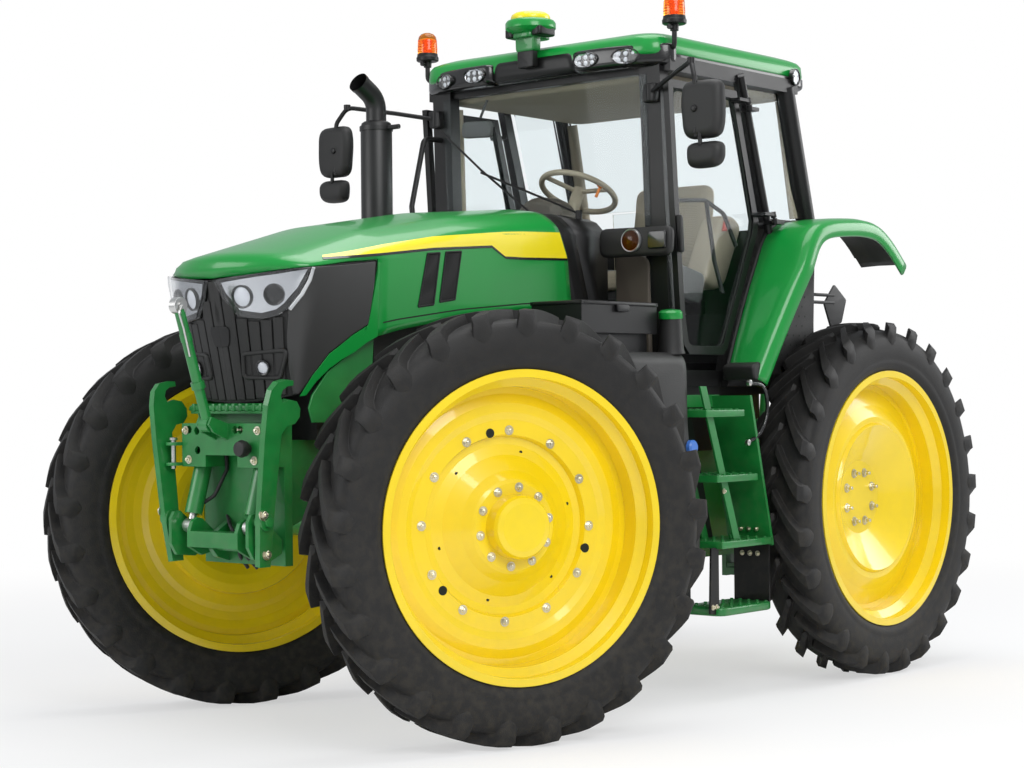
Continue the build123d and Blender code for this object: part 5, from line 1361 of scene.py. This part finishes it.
    def signals(self):
        """Turn signals and position lamps on the front posts."""
        brackets, rings, lenses, amber = Shape(), Shape(), Shape(), Shape()
        for _, side in SIDES:
            brackets.block(mirrored([(0.452, 2.122), (0.875, 2.118), (0.882, 2.255), (0.452, 2.262)], side),
                           front_view, 1.562, 1.600, 0.008, 0.018, bend=0.04)
            brackets.block(mirrored(rect(0.665, 0.735, 2.13, 2.24), side), front_view, 1.452, 1.565, 0.004,
                           bend=0.01)
            lamp = at(1.600, side * 0.656, 2.196)
            rings.oval([(-0.004, 1.0), (0.012, 1.0), (0.016, 0.96), (0.014, 0.86), (-0.004, 0.86)], lamp,
                       (1, 0, 0), 0.112, 0.112, closed=True)
            amber.oval([(0.0, 0.86), (0.018, 0.86), (0.028, 0.6), (0.031, 0.0), (0.0, 0.0)], lamp,
                       (1, 0, 0), 0.112, 0.112)
            lenses.block(mirrored(rect(0.752, 0.860, 2.150, 2.235), side), front_view, 1.596, 1.612, 0.002,
                         0.006, bend=0.016)
        brackets.piece("signal_brackets", "moulded_black", replaces=("signal_lamps",))
        rings.piece("signal_rings", "silver_trim")
        amber.piece("signal_lenses", "lens_amber", angle=45)
        lenses.piece("position_lenses", "gloss_black")

    def exhaust(self):
        """Stack with its clamps, bracket and cut-off outlet."""
        centre, up = at(2.085, -0.555, 0), (0, 0, 1)
        stack = Shape()
        stack.turned([(1.80, 0.0), (1.80, 0.095), (1.83, 0.110), (2.255, 0.110), (2.285, 0.095),
                      (2.29, 0.078), (2.80, 0.078), (2.818, 0.072), (2.826, 0.060), (2.826, 0.0)], centre,
                     up, steps=44)
        for z in (2.32, 2.78):
            stack.turned([(z, 0.077), (z, 0.083), (z + 0.022, 0.083), (z + 0.022, 0.077)], centre, up,
                         steps=44, closed=True)
        stack.bar(at(2.085, -0.47, 2.79), at(2.085, -0.40, 2.79), 0.012, sides=10)
        bend = [at(2.085, -0.555, 2.815), at(2.085, -0.555, 2.935), at(2.210, -0.555, 3.010)]
        for radius in (0.050, 0.046):
            stack.tube(bend, radius, bend=0.12, sides=32, ends=False)
        stack.tube([at(2.1935, -0.555, 3.000), at(2.210, -0.555, 3.010)], 0.0525, sides=32, ends=False)
        stack.piece("exhaust_stack", "exhaust_black", replaces=("exhaust",), angle=35)

    def doors(self):
        """Grab loops, pockets, handles and rubber edges on both doors."""
        for name, side in SIDES:
            body = f"door_{name}"
            loops, grips, seals = Shape(), Shape(), Shape()
            y = side * 0.745
            loops.tube([at(1.39, y, 2.36), at(1.34, side * 0.70, 2.40), at(1.06, side * 0.70, 2.42),
                        at(0.93, side * 0.72, 2.36), at(0.86, y, 2.20)], 0.011, bend=0.05, sides=10)
            loops.tube([at(1.05, side * 0.70, 2.415), at(0.985, side * 0.70, 2.12), at(0.98, y, 1.96)],
                       0.011, bend=0.05, sides=10)
            loops.piece(f"door_rails_{name}", "satin_black", body)
            grips.block([(1.13, 2.05), (1.38, 2.10), (1.36, 1.93), (1.17, 1.90)], side_view, side * 0.700,
                        side * 0.752, 0.012, bend=0.04)
            grips.block([(1.398, 2.14), (1.428, 2.14), (1.442, 2.32), (1.412, 2.32)], side_view,
                        side * 0.797, side * 0.822, 0.008, bend=0.014)
            grips.piece(f"door_grips_{name}", "moulded_black", body)
            edge = [(1.445, 2.92), (1.408, 2.39), (1.361, 1.82), (1.338, 1.715), (1.312, 1.692),
                    (1.076, 1.692), (1.052, 1.715), (0.915, 2.0), (0.78, 2.30), (0.94, 2.92)]
            loop = soft_loop(edge, 0.0, 0.05, 4)
            path = [at(a, side * 0.785, b) for a, b in loop + loop[:1]]
            seals.tube(path, 0.006, bend=0.001, sides=6, ends=False)
            seals.piece(f"door_seals_{name}", "gap_shade_and_seal", body)


# ------------------------------------------------------------------ fenders, steps and linkage
def on_solid(label, origin, direction):
    """Where a ray from a point first meets a carried-over solid."""
    hit = solid_tree(label).ray_cast(Vector(origin), Vector(direction))[0]
    if hit is None:
        raise RuntimeError(f"nothing of {label} ahead of {tuple(origin)}")
    return hit


class TRACTOR_OT_fenders(bpy.types.Operator):
    """Makes the rear fenders with their liners, trims, flaps and foot caps"""

    bl_idname = "tractor.fenders"
    bl_label = "Fenders"

    inner, outer = 0.792, 1.085     # widths of the fender's two edges from the middle of the tractor
    crown = [(1.035, 1.540), (0.985, 1.652), (0.935, 1.765), (0.835, 1.972), (0.762, 2.105), (0.690, 2.232),
             (0.610, 2.302), (0.500, 2.336), (0.340, 2.352), (0.175, 2.357), (0.020, 2.338),
             (-0.120, 2.268), (-0.262, 2.155)]

    def swept(self, shape, side, section):
        """Rows of a cross-section of (share of width, in from the edge, drop) carried along the crown."""
        path = smooth_curve(self.crown, 5)
        rows = []
        for i, point in enumerate(path):
            along = (path[min(i + 1, len(path) - 1)] - path[max(i - 1, 0)]).normalized()
            outward = Vector((along.y, -along.x))
            edge = min(self.outer, 0.960 + (point.y - 1.40) * 0.177) if point.x > 0.3 else self.outer
            row = []
            for share, inset, drop in section:
                y = self.inner + (edge - self.inner) * share - inset
                spot = point - outward * drop
                row.append(at(spot.x, side * y, spot.y))
            rows.append(row)
        return shape.rows(rows)

    def execute(self, context):
        skin, liner, trim = Shape(), Shape(), Shape()
        panels, feet = Shape(), Shape()
        for _, side in SIDES:
            self.swept(skin, side, [(0, 0, 0.010), (0, -0.010, 0.002), (0.35, 0, -0.004), (0.7, 0, -0.002),
                                    (1, 0.050, 0.001), (1, 0.030, 0.006), (1, 0.013, 0.016),
                                    (1, 0.004, 0.030), (1, 0.0, 0.048), (1, 0.0, 0.088), (1, 0.004, 0.094),
                                    (1, 0.014, 0.096)])
            self.swept(liner, side, [(0, -0.012, 0.022), (0.4, 0, 0.016), (1, 0.060, 0.018),
                                     (1, 0.030, 0.040), (1, 0.022, 0.070)])
            path = [at(p.x, side * 0.790, p.y - 0.004) for p in smooth_curve(self.crown, 3)[:-1]]
            trim.tube(path, 0.009, bend=0.001, sides=8)
            panels.prism([(0.215, 1.56), (0.985, 1.56), (0.90, 1.76), (0.79, 1.98), (0.68, 2.16),
                          (0.60, 2.25), (0.215, 2.30)], side * 0.782, side * 0.790)
            feet.block([(1.046, 1.528), (1.064, 1.600), (0.985, 1.622), (0.946, 1.528)], side_view,
                       side * 0.792, side * 0.975, 0.012, bend=0.02)
        flaps = Shape()
        for _, side in SIDES:
            flaps.block([(-0.255, 1.965), (-0.135, 2.045), (-0.030, 1.940), (-0.095, 1.815),
                         (-0.205, 1.840)], side_view, side * 0.695, side * 0.705, 0.002, bend=0.012)
            for z in (1.945, 1.985):
                flaps.bar(at(0.195, side * 0.700, z), at(-0.13, side * 0.700, z), 0.009, sides=10)
        flaps.piece("rear_flaps", "satin_black")
        core = at(0.35, 0, 1.6)
        skin.piece("fender_skins", "body_green", replaces=("fenders",), angle=45, thick=0.005, core=core)
        liner.piece("fender_inners", "moulded_black", replaces=("fender_liners",), angle=45, thick=0.004,
                    core=core)
        trim.piece("fender_trims", "moulded_black")
        panels.piece("fender_side_panels", "moulded_black")
        feet.piece("fender_feet", "moulded_black")
        # Dark discs on the fender side panels: painted shade in their perforations.
        hole = Shape().turned([(0, 0), (0, 1.0), (0.2, 1.0), (0.2, 0)], steps=10)
        spots = [(at(0.30 + 0.055 * i + 0.027 * (k % 2), side * 0.7895, 1.66 + 0.05 * k), (0, side, 0))
                 for _, side in SIDES for k in range(9) for i in range(7 - k // 3)]
        scatter("fender_panel_holes", as_mesh(hole), spots, "gap_shade_and_seal", "chassis", size=0.0055)
        return {"FINISHED"}


class TRACTOR_OT_steps(bpy.types.Operator):
    """Makes the tank with its caps, the toolbox lid and the step ladder"""

    bl_idname = "tractor.steps"
    bl_label = "Steps and tank"

    treads = ((1.170, 1.490, 1.370), (1.062, 1.405, 1.060), (0.940, 1.370, 0.745), (0.935, 1.380, 0.432))

    def execute(self, context):
        stub = Shape().turned([(-0.4, 0), (-0.4, 1.0), (0.4, 1.0), (0.6, 0.7), (0.6, 0.0)], steps=8)
        spots = [(at(rear + 0.035 + (front - rear - 0.07) * i / 5, 0.775 + 0.05 * k, z + 0.0182), (0, 0, 1))
                 for rear, front, z in self.treads for i in range(6) for k in range(5)]
        scatter("step_studs", as_mesh(stub), spots, "casting_green", "chassis", size=0.009)
        self.ladder()
        tank = Shape().block([(2.05, 1.66), (1.52, 1.66), (1.512, 1.30), (1.420, 0.80), (1.430, 0.655),
                              (1.52, 0.610), (1.78, 0.74), (1.782, 0.93), (1.80, 1.13), (1.855, 1.31),
                              (1.94, 1.46), (2.05, 1.590)], side_view, 0.435, 0.936, 0.030, 0.060,
                             bend=0.06, turns=6)
        tank.box((1.53, 1.675), (0.255, 0.44), (0.765, 1.245))
        tank.piece("tank_body", "tank_charcoal", replaces=("fuel_tank",), angle=45)
        neck, cap, blue = Shape(), Shape(), Shape()
        neck.turned([(0, 0), (0, 0.066), (0.02, 0.060), (0.165, 0.052), (0.165, 0)],
                    at(1.585, 0.868, 1.655), (0.08, 0.05, 1), steps=32)
        neck.piece("tank_neck", "moulded_black")
        cap.turned([(0, 0), (0, 0.056), (0.006, 0.058), (0.030, 0.056), (0.040, 0.046), (0.044, 0.018),
                    (0.044, 0)], at(1.598, 0.876, 1.818), (0.08, 0.05, 1), steps=36)
        cap.piece("tank_cap", "body_green")
        spot = at(1.535, 0.934, 1.215)
        blue.turned([(-0.004, 0), (-0.004, 0.034), (0.020, 0.034), (0.028, 0.026), (0.028, 0)], spot,
                    (0, 1, 0), steps=28)
        blue.piece("additive_cap", "blue_cap")
        lid, latch = Shape(), Shape()
        lid.block(rect(1.666, 2.241, 0.554, 0.856), plan_view, 1.8735, 1.890, 0.002, 0.008, bend=0.03)
        lid.block(rect(1.74, 2.17, 0.60, 0.81), plan_view, 1.889, 1.893, 0.002, bend=0.03)
        lid.piece("toolbox_cover", "satin_black", "toolbox_lid")
        latch.block(rect(1.90, 1.99, 1.842, 1.876), side_view, 0.8515, 0.866, 0.001, 0.005, bend=0.01)
        latch.piece("toolbox_latch", "satin_black")
        return {"FINISHED"}

    def ladder(self):
        """Treads between a leaning cheek plate and two rails, the hung bottom step and the grab tube."""
        green, black, grab, ends = Shape(), Shape(), Shape(), Shape()
        green.prism([(1.110, 1.455), (0.930, 0.727), (0.945, 0.722), (1.128, 1.455)], 0.745, 1.000)
        for rear, front, z in self.treads[:3]:
            green.block(rect(rear, front, 0.745, 1.0), plan_view, z - 0.016, z + 0.018, 0.004, bend=0.008)
        rear, front, z = self.treads[3]
        green.block(rect(rear, front, 0.745, 1.0), plan_view, z - 0.022, z + 0.018, 0.010, bend=0.05)
        for y in (0.770, 0.955):
            green.prism([(1.440, 1.500), (1.490, 1.500), (1.212, 0.735), (1.160, 0.735)], y, y + 0.010)
        green.box((1.06, 1.44), (0.685, 0.775), (1.40, 1.4595))
        green.piece("ladder_frame", "casting_green", replaces=("step_ladder",))
        for y in (0.790, 0.955):
            black.prism([(1.352, 0.735), (1.412, 0.735), (1.425, 0.425), (1.352, 0.415)], y, y + 0.010)
        black.box((0.944, 0.954), (0.780, 0.985), (0.430, 0.735))
        black.prism([(0.460, 1.62), (1.600, 1.62), (1.600, 1.18), (0.900, 1.18), (0.460, 1.34)], 0.600,
                    0.610)
        # Two thin dark sheets behind the treads: painted shade of the space behind the ladder.
        black.prism([(1.28, 1.44), (1.46, 1.44), (1.38, 0.75), (1.08, 0.75)], 0.742, 0.7445)
        black.prism(rect(1.02, 1.46, 1.44, 1.53), 0.7405, 0.7445)
        black.piece("step_straps", "satin_black")
        path = smooth_curve([at(1.120, 0.985, 1.515), at(1.020, 1.000, 1.500), at(0.985, 1.004, 1.430),
                             at(0.996, 1.004, 1.340), at(1.050, 0.995, 1.262), at(1.130, 0.980, 1.228)], 6)
        grab.tube(path, 0.0095, bend=0.001, sides=12)
        grab.piece("step_grab_tube", "gloss_black")
        for spot in (path[-1], path[0]):
            ends.turned([(0, 0), (0, 0.015), (0.016, 0.015), (0.020, 0.008), (0.020, 0)], spot, (0, 1, 0),
                        steps=16)
        ends.piece("grab_tube_ends", "bare_steel")
        spots = [(at(x, 0.9655, z), (0, 1, 0)) for x, z in ((1.375, 0.455), (1.405, 0.455), (1.305, 1.00))]
        spots += [(at(x, y, z), (1, 0, 0)) for y in (0.830, 0.875, 0.920)
                  for x, z in ((0.9545, 0.68), (0.964, 0.80))]
        scatter("step_bolts", hex_bolt(0.017), spots, "plated_bolt", "chassis")


class TRACTOR_OT_linkage(bpy.types.Operator):
    """Makes the fittings of the front linkage and the panels below the hood"""

    bl_idname = "tractor.linkage"
    bl_label = "Linkage"

    def execute(self, context):
        side_plates = Shape()
        for _, side in SIDES:
            side_plates.prism([(3.05, 1.735), (3.06, 1.60), (3.02, 1.50), (3.02, 1.36), (3.42, 1.36),
                               (3.44, 1.42), (3.42, 1.475), (3.33, 1.572), (3.20, 1.650)],
                              side * 0.345, side * 0.355)
        side_plates.piece("nose_side_plates", "casting_green", bevel=0.002)
        teeth = Shape()
        teeth.block([(-0.270, 1.412), (0.270, 1.412), (0.262, 1.436), (-0.262, 1.436)], front_view, 3.500,
                    3.560, 0.006, bend=0.01)
        for k in range(12):
            y = -0.231 + 0.042 * k
            teeth.block(rect(3.498, 3.566, y - 0.009, y + 0.009), plan_view, 1.410, 1.443, 0.003,
                        bend=0.004)
        teeth.piece("tray_ribs", "casting_green")
        knob = Shape()
        face = on_solid("hitch_frame", at(3.9, 0.170, 1.255), (-1, 0, 0))
        knob.turned([(-0.004, 0), (-0.004, 0.020), (0.014, 0.016), (0.020, 0.032), (0.040, 0.037),
                     (0.058, 0.030), (0.064, 0.0)], face, (1, 0, 0), steps=32)
        knob.piece("coupling_knob", "moulded_black", angle=50)
        clevis, pin = Shape(), Shape()
        for z in (1.185, 1.272):
            clevis.block([(3.53, -0.245), (3.655, -0.250), (3.665, -0.305), (3.60, -0.325), (3.53, -0.300)],
                         plan_view, z - 0.007, z + 0.007, 0.002, bend=0.02)
        clevis.piece("side_clevis", "casting_green")
        pin.bar(at(3.632, -0.283, 1.165), at(3.632, -0.283, 1.292), 0.011, sides=16)
        pin.turned([(0, 0), (0, 0.018), (0.010, 0.018), (0.012, 0)], at(3.632, -0.283, 1.288), steps=16)
        pin.piece("clevis_pin", "bare_steel")
        hoses, ends = Shape(), Shape()
        for _, side in SIDES:
            y = side * 0.188
            path = [at(3.500, side * 0.10, 1.30), at(3.50, side * 0.09, 1.16), at(3.545, side * 0.12, 1.05),
                    at(3.575, y * 0.95, 1.01)]
            hoses.tube(path, 0.0085, bend=0.05, sides=10)
            ends.bar(path[-1], path[-1] + Vector((-0.008, 0, 0.035)), 0.0115, sides=12)
            more = [at(3.46, side * 0.14, 0.98), at(3.52, side * 0.05, 0.92), at(3.50, -side * 0.02, 0.80),
                    at(3.44, -side * 0.03, 0.74)]
            hoses.tube(more, 0.0085, bend=0.06, sides=10)
        hoses.piece("linkage_hoses", "hose_black")
        ends.piece("hose_ferrules", "bare_steel")
        spots = [(on_solid("hitch_frame", at(3.9, side * y, z), (-1, 0, 0)), (1, 0, 0))
                 for _, side in SIDES for y, z in ((0.225, 1.33), (0.205, 1.205), (0.09, 1.335))]
        scatter("casting_bolts", hex_bolt(0.024), spots, "plated_bolt", "chassis")
        sides = [(on_solid("front_links", at(x, side * 0.6, z), (0, -side, 0)), (0, side, 0.12))
                 for _, side in SIDES for x, z in ((3.668, 0.985), (3.632, 0.82))]
        scatter("link_bolts", hex_bolt(0.030), sides, "plated_bolt", "front_links")
        self.top_link()
        return {"FINISHED"}

    def top_link(self):
        """Bright hooked end and adjusting sleeve of the front top link."""
        foot, head = at(3.685, 0, 1.356), at(3.841, 0, 1.850)
        along = (head - foot).normalized()
        hook, sleeve = Shape(), Shape()
        hook.turned([(-0.020, 0.017), (-0.020, 0.034), (0.020, 0.034), (0.020, 0.017)], head, (0, 1, 0),
                    steps=28, closed=True)
        hook.turned([(-0.026, 0), (-0.026, 0.016), (0.026, 0.016), (0.026, 0)], head, (0, 1, 0), steps=20)
        hook.bar(head - along * 0.035, head - along * 0.12, 0.0195, sides=20)
        hook.tube([head + Vector((0, 0.026, 0)), head + Vector((0.025, 0.034, -0.03)),
                   head - along * 0.10 + Vector((0.03, 0.034, 0)),
                   head - along * 0.22 + Vector((0.022, 0.020, 0))], 0.0045, bend=0.02, sides=8)
        hook.piece("top_link_hook", "bare_steel", "front_top_link", angle=40)
        sleeve.bar(head - along * 0.12, head - along * 0.155, 0.025, sides=24)
        sleeve.bar(head - along * 0.36, head - along * 0.33, 0.0295, sides=24)
        sleeve.piece("top_link_sleeve", "casting_green", "front_top_link")


class TRACTOR_OT_stage(bpy.types.Operator):
    """Sets the pale floor, the soft lamps and the camera"""

    bl_idname = "tractor.stage"
    bl_label = "Stage"

    lamps = (  # name, place, aim, width, height, watts
        ("key", (4.5, 7.5, 6.5), (0.3, 0.2, 1.2), 5.0, 4.0, 430),
        ("fill", (8.5, -3.5, 4.0), (0.5, 0.0, 1.2), 4.5, 4.0, 210),
        ("top", (-0.5, 0.5, 8.0), (-0.2, 0.0, 1.0), 6.0, 5.0, 300),
        ("rear", (-7.0, 4.0, 4.0), (-0.5, 0.5, 1.4), 4.0, 3.5, 190),
    )
    camera_place = (8.105, 6.58, 1.47)
    camera_turn = (220.4, 0.29, -0.54)      # yaw, pitch and roll in degrees
    focal_length, sensor_width = 72.7, 36.0     # in millimetres

    def execute(self, context):
        scene = context.scene
        scene.view_settings.view_transform = "Standard"
        data = as_mesh(Shape().plan(rect(-40, 45, -40, 40), -0.002, 0.0))
        ground = bpy.data.objects.new("floor", data)
        scene.collection.objects.link(ground)
        data.materials.append(self.floor_material())
        for name, place, aim, width, height, watts in self.lamps:
            light = bpy.data.lights.new(name, "AREA")
            light.shape = "RECTANGLE"
            light.size, light.size_y, light.energy = width, height, watts
            lamp = bpy.data.objects.new(name, light)
            lamp.location = place
            lamp.rotation_euler = (Vector(aim) - Vector(place)).to_track_quat("-Z", "Y").to_euler()
            scene.collection.objects.link(lamp)
        self.world(scene)
        self.camera(scene)
        return {"FINISHED"}

    def floor_material(self):
        """White floor that fades into the backdrop, as the camera sees it."""
        material, tree, shader = principled("pale_floor", {"Base Color": (0.80, 0.80, 0.80, 1),
                                                           "Roughness": 0.9, "Specular IOR Level": 0.1})
        wired(tree,
              {"glow": ("ShaderNodeEmission", {}, {"Color": (1, 1, 1, 1)}), "path": ("ShaderNodeLightPath",),
               "coords": ("ShaderNodeTexCoord",),
               "far": ("ShaderNodeVectorMath", {"operation": "LENGTH"}),
               "fade": ("ShaderNodeMapRange", {"interpolation_type": "SMOOTHSTEP"},
                        {"From Min": 2.0, "From Max": 9.0, "To Min": 0.55, "To Max": 1.0}),
               "seen": ("ShaderNodeMath", {"operation": "MULTIPLY"}), "blend": ("ShaderNodeMixShader",)},
              ["coords.Object > far.0", "far.Value > fade.Value", "path.Is Camera Ray > seen.0",
               "fade.Result > seen.1", "seen.0 > blend.0", "shader.0 > blend.1", "glow.0 > blend.2",
               "blend.0 > out.Surface"], shader=shader, out=tree.nodes["Material Output"])
        return material

    def world(self, scene):
        """Soft sky light, with plain white behind the tractor and through its glass."""
        world = bpy.data.worlds.new("studio")
        scene.world = world
        world.use_nodes = True
        tree = world.node_tree
        tree.nodes.clear()
        wired(tree,
              {"soft": ("ShaderNodeBackground", {}, {"Color": (0.92, 0.95, 1.0, 1), "Strength": 0.55}),
               "white": ("ShaderNodeBackground", {}, {"Color": (1, 1, 1, 1)}),
               "path": ("ShaderNodeLightPath",), "both": ("ShaderNodeMath", {"operation": "MAXIMUM"}),
               "blend": ("ShaderNodeMixShader",), "sink": ("ShaderNodeOutputWorld",)},
              ["path.Is Camera Ray > both.0", "path.Is Transmission Ray > both.1", "both.0 > blend.0",
               "soft.0 > blend.1", "white.0 > blend.2", "blend.0 > sink.Surface"])

    def camera(self, scene):
        """Long lens from ahead and to the left, near the height of the axles."""
        yaw, pitch, roll = (radians(degrees) for degrees in self.camera_turn)
        forward = Vector((cos(yaw) * cos(pitch), sin(yaw) * cos(pitch), sin(pitch)))
        right = forward.cross(Vector((0, 0, 1))).normalized()
        up = right.cross(forward)
        x_axis = right * cos(roll) + up * sin(roll)
        y_axis = up * cos(roll) - right * sin(roll)
        lens = bpy.data.cameras.new("camera")
        lens.lens = self.focal_length
        lens.sensor_width = self.sensor_width
        lens.clip_end = 200
        view = bpy.data.objects.new("camera", lens)
        turn = Matrix((x_axis, y_axis, -forward)).transposed().to_4x4()
        view.matrix_world = Matrix.Translation(self.camera_place) @ turn
        scene.collection.objects.link(view)
        scene.camera = view


# ------------------------------------------------------------------ panel and registration
OPERATORS = (TRACTOR_OT_materials, TRACTOR_OT_tyres, TRACTOR_OT_wheel_bolts, TRACTOR_OT_hood,
             TRACTOR_OT_roof, TRACTOR_OT_cab, TRACTOR_OT_fenders, TRACTOR_OT_steps, TRACTOR_OT_linkage,
             TRACTOR_OT_stage)


class TRACTOR_PT_build(bpy.types.Panel):
    """Sizes, colours and build steps of the tractor"""

    bl_label = "Tractor"
    bl_idname = "TRACTOR_PT_build"
    bl_space_type = "VIEW_3D"
    bl_region_type = "UI"
    bl_category = "Tractor"

    def draw(self, context):
        layout = self.layout
        for group in (context.scene.tractor_wheels, context.scene.tractor_paint):
            for name in group.bl_rna.properties.keys():
                if name not in ("rna_type", "name"):
                    layout.prop(group, name)
        for operator in OPERATORS:
            layout.operator(operator.bl_idname)


CLASSES = (WheelSizes, PaintColours, *OPERATORS, TRACTOR_PT_build)


def register():
    """Add the classes and the scene's settings."""
    for made in CLASSES:
        bpy.utils.register_class(made)
    bpy.types.Scene.tractor_wheels = PointerProperty(type=WheelSizes)
    bpy.types.Scene.tractor_paint = PointerProperty(type=PaintColours)


def unregister():
    """Take the classes and settings away again."""
    del bpy.types.Scene.tractor_wheels
    del bpy.types.Scene.tractor_paint
    for made in reversed(CLASSES):
        bpy.utils.unregister_class(made)


def main():
    """Build every piece."""
    register()
    for operator in OPERATORS:
        group, name = operator.bl_idname.split(".")
        getattr(getattr(bpy.ops, group), name)()


if __name__ == "__main__":
    main()
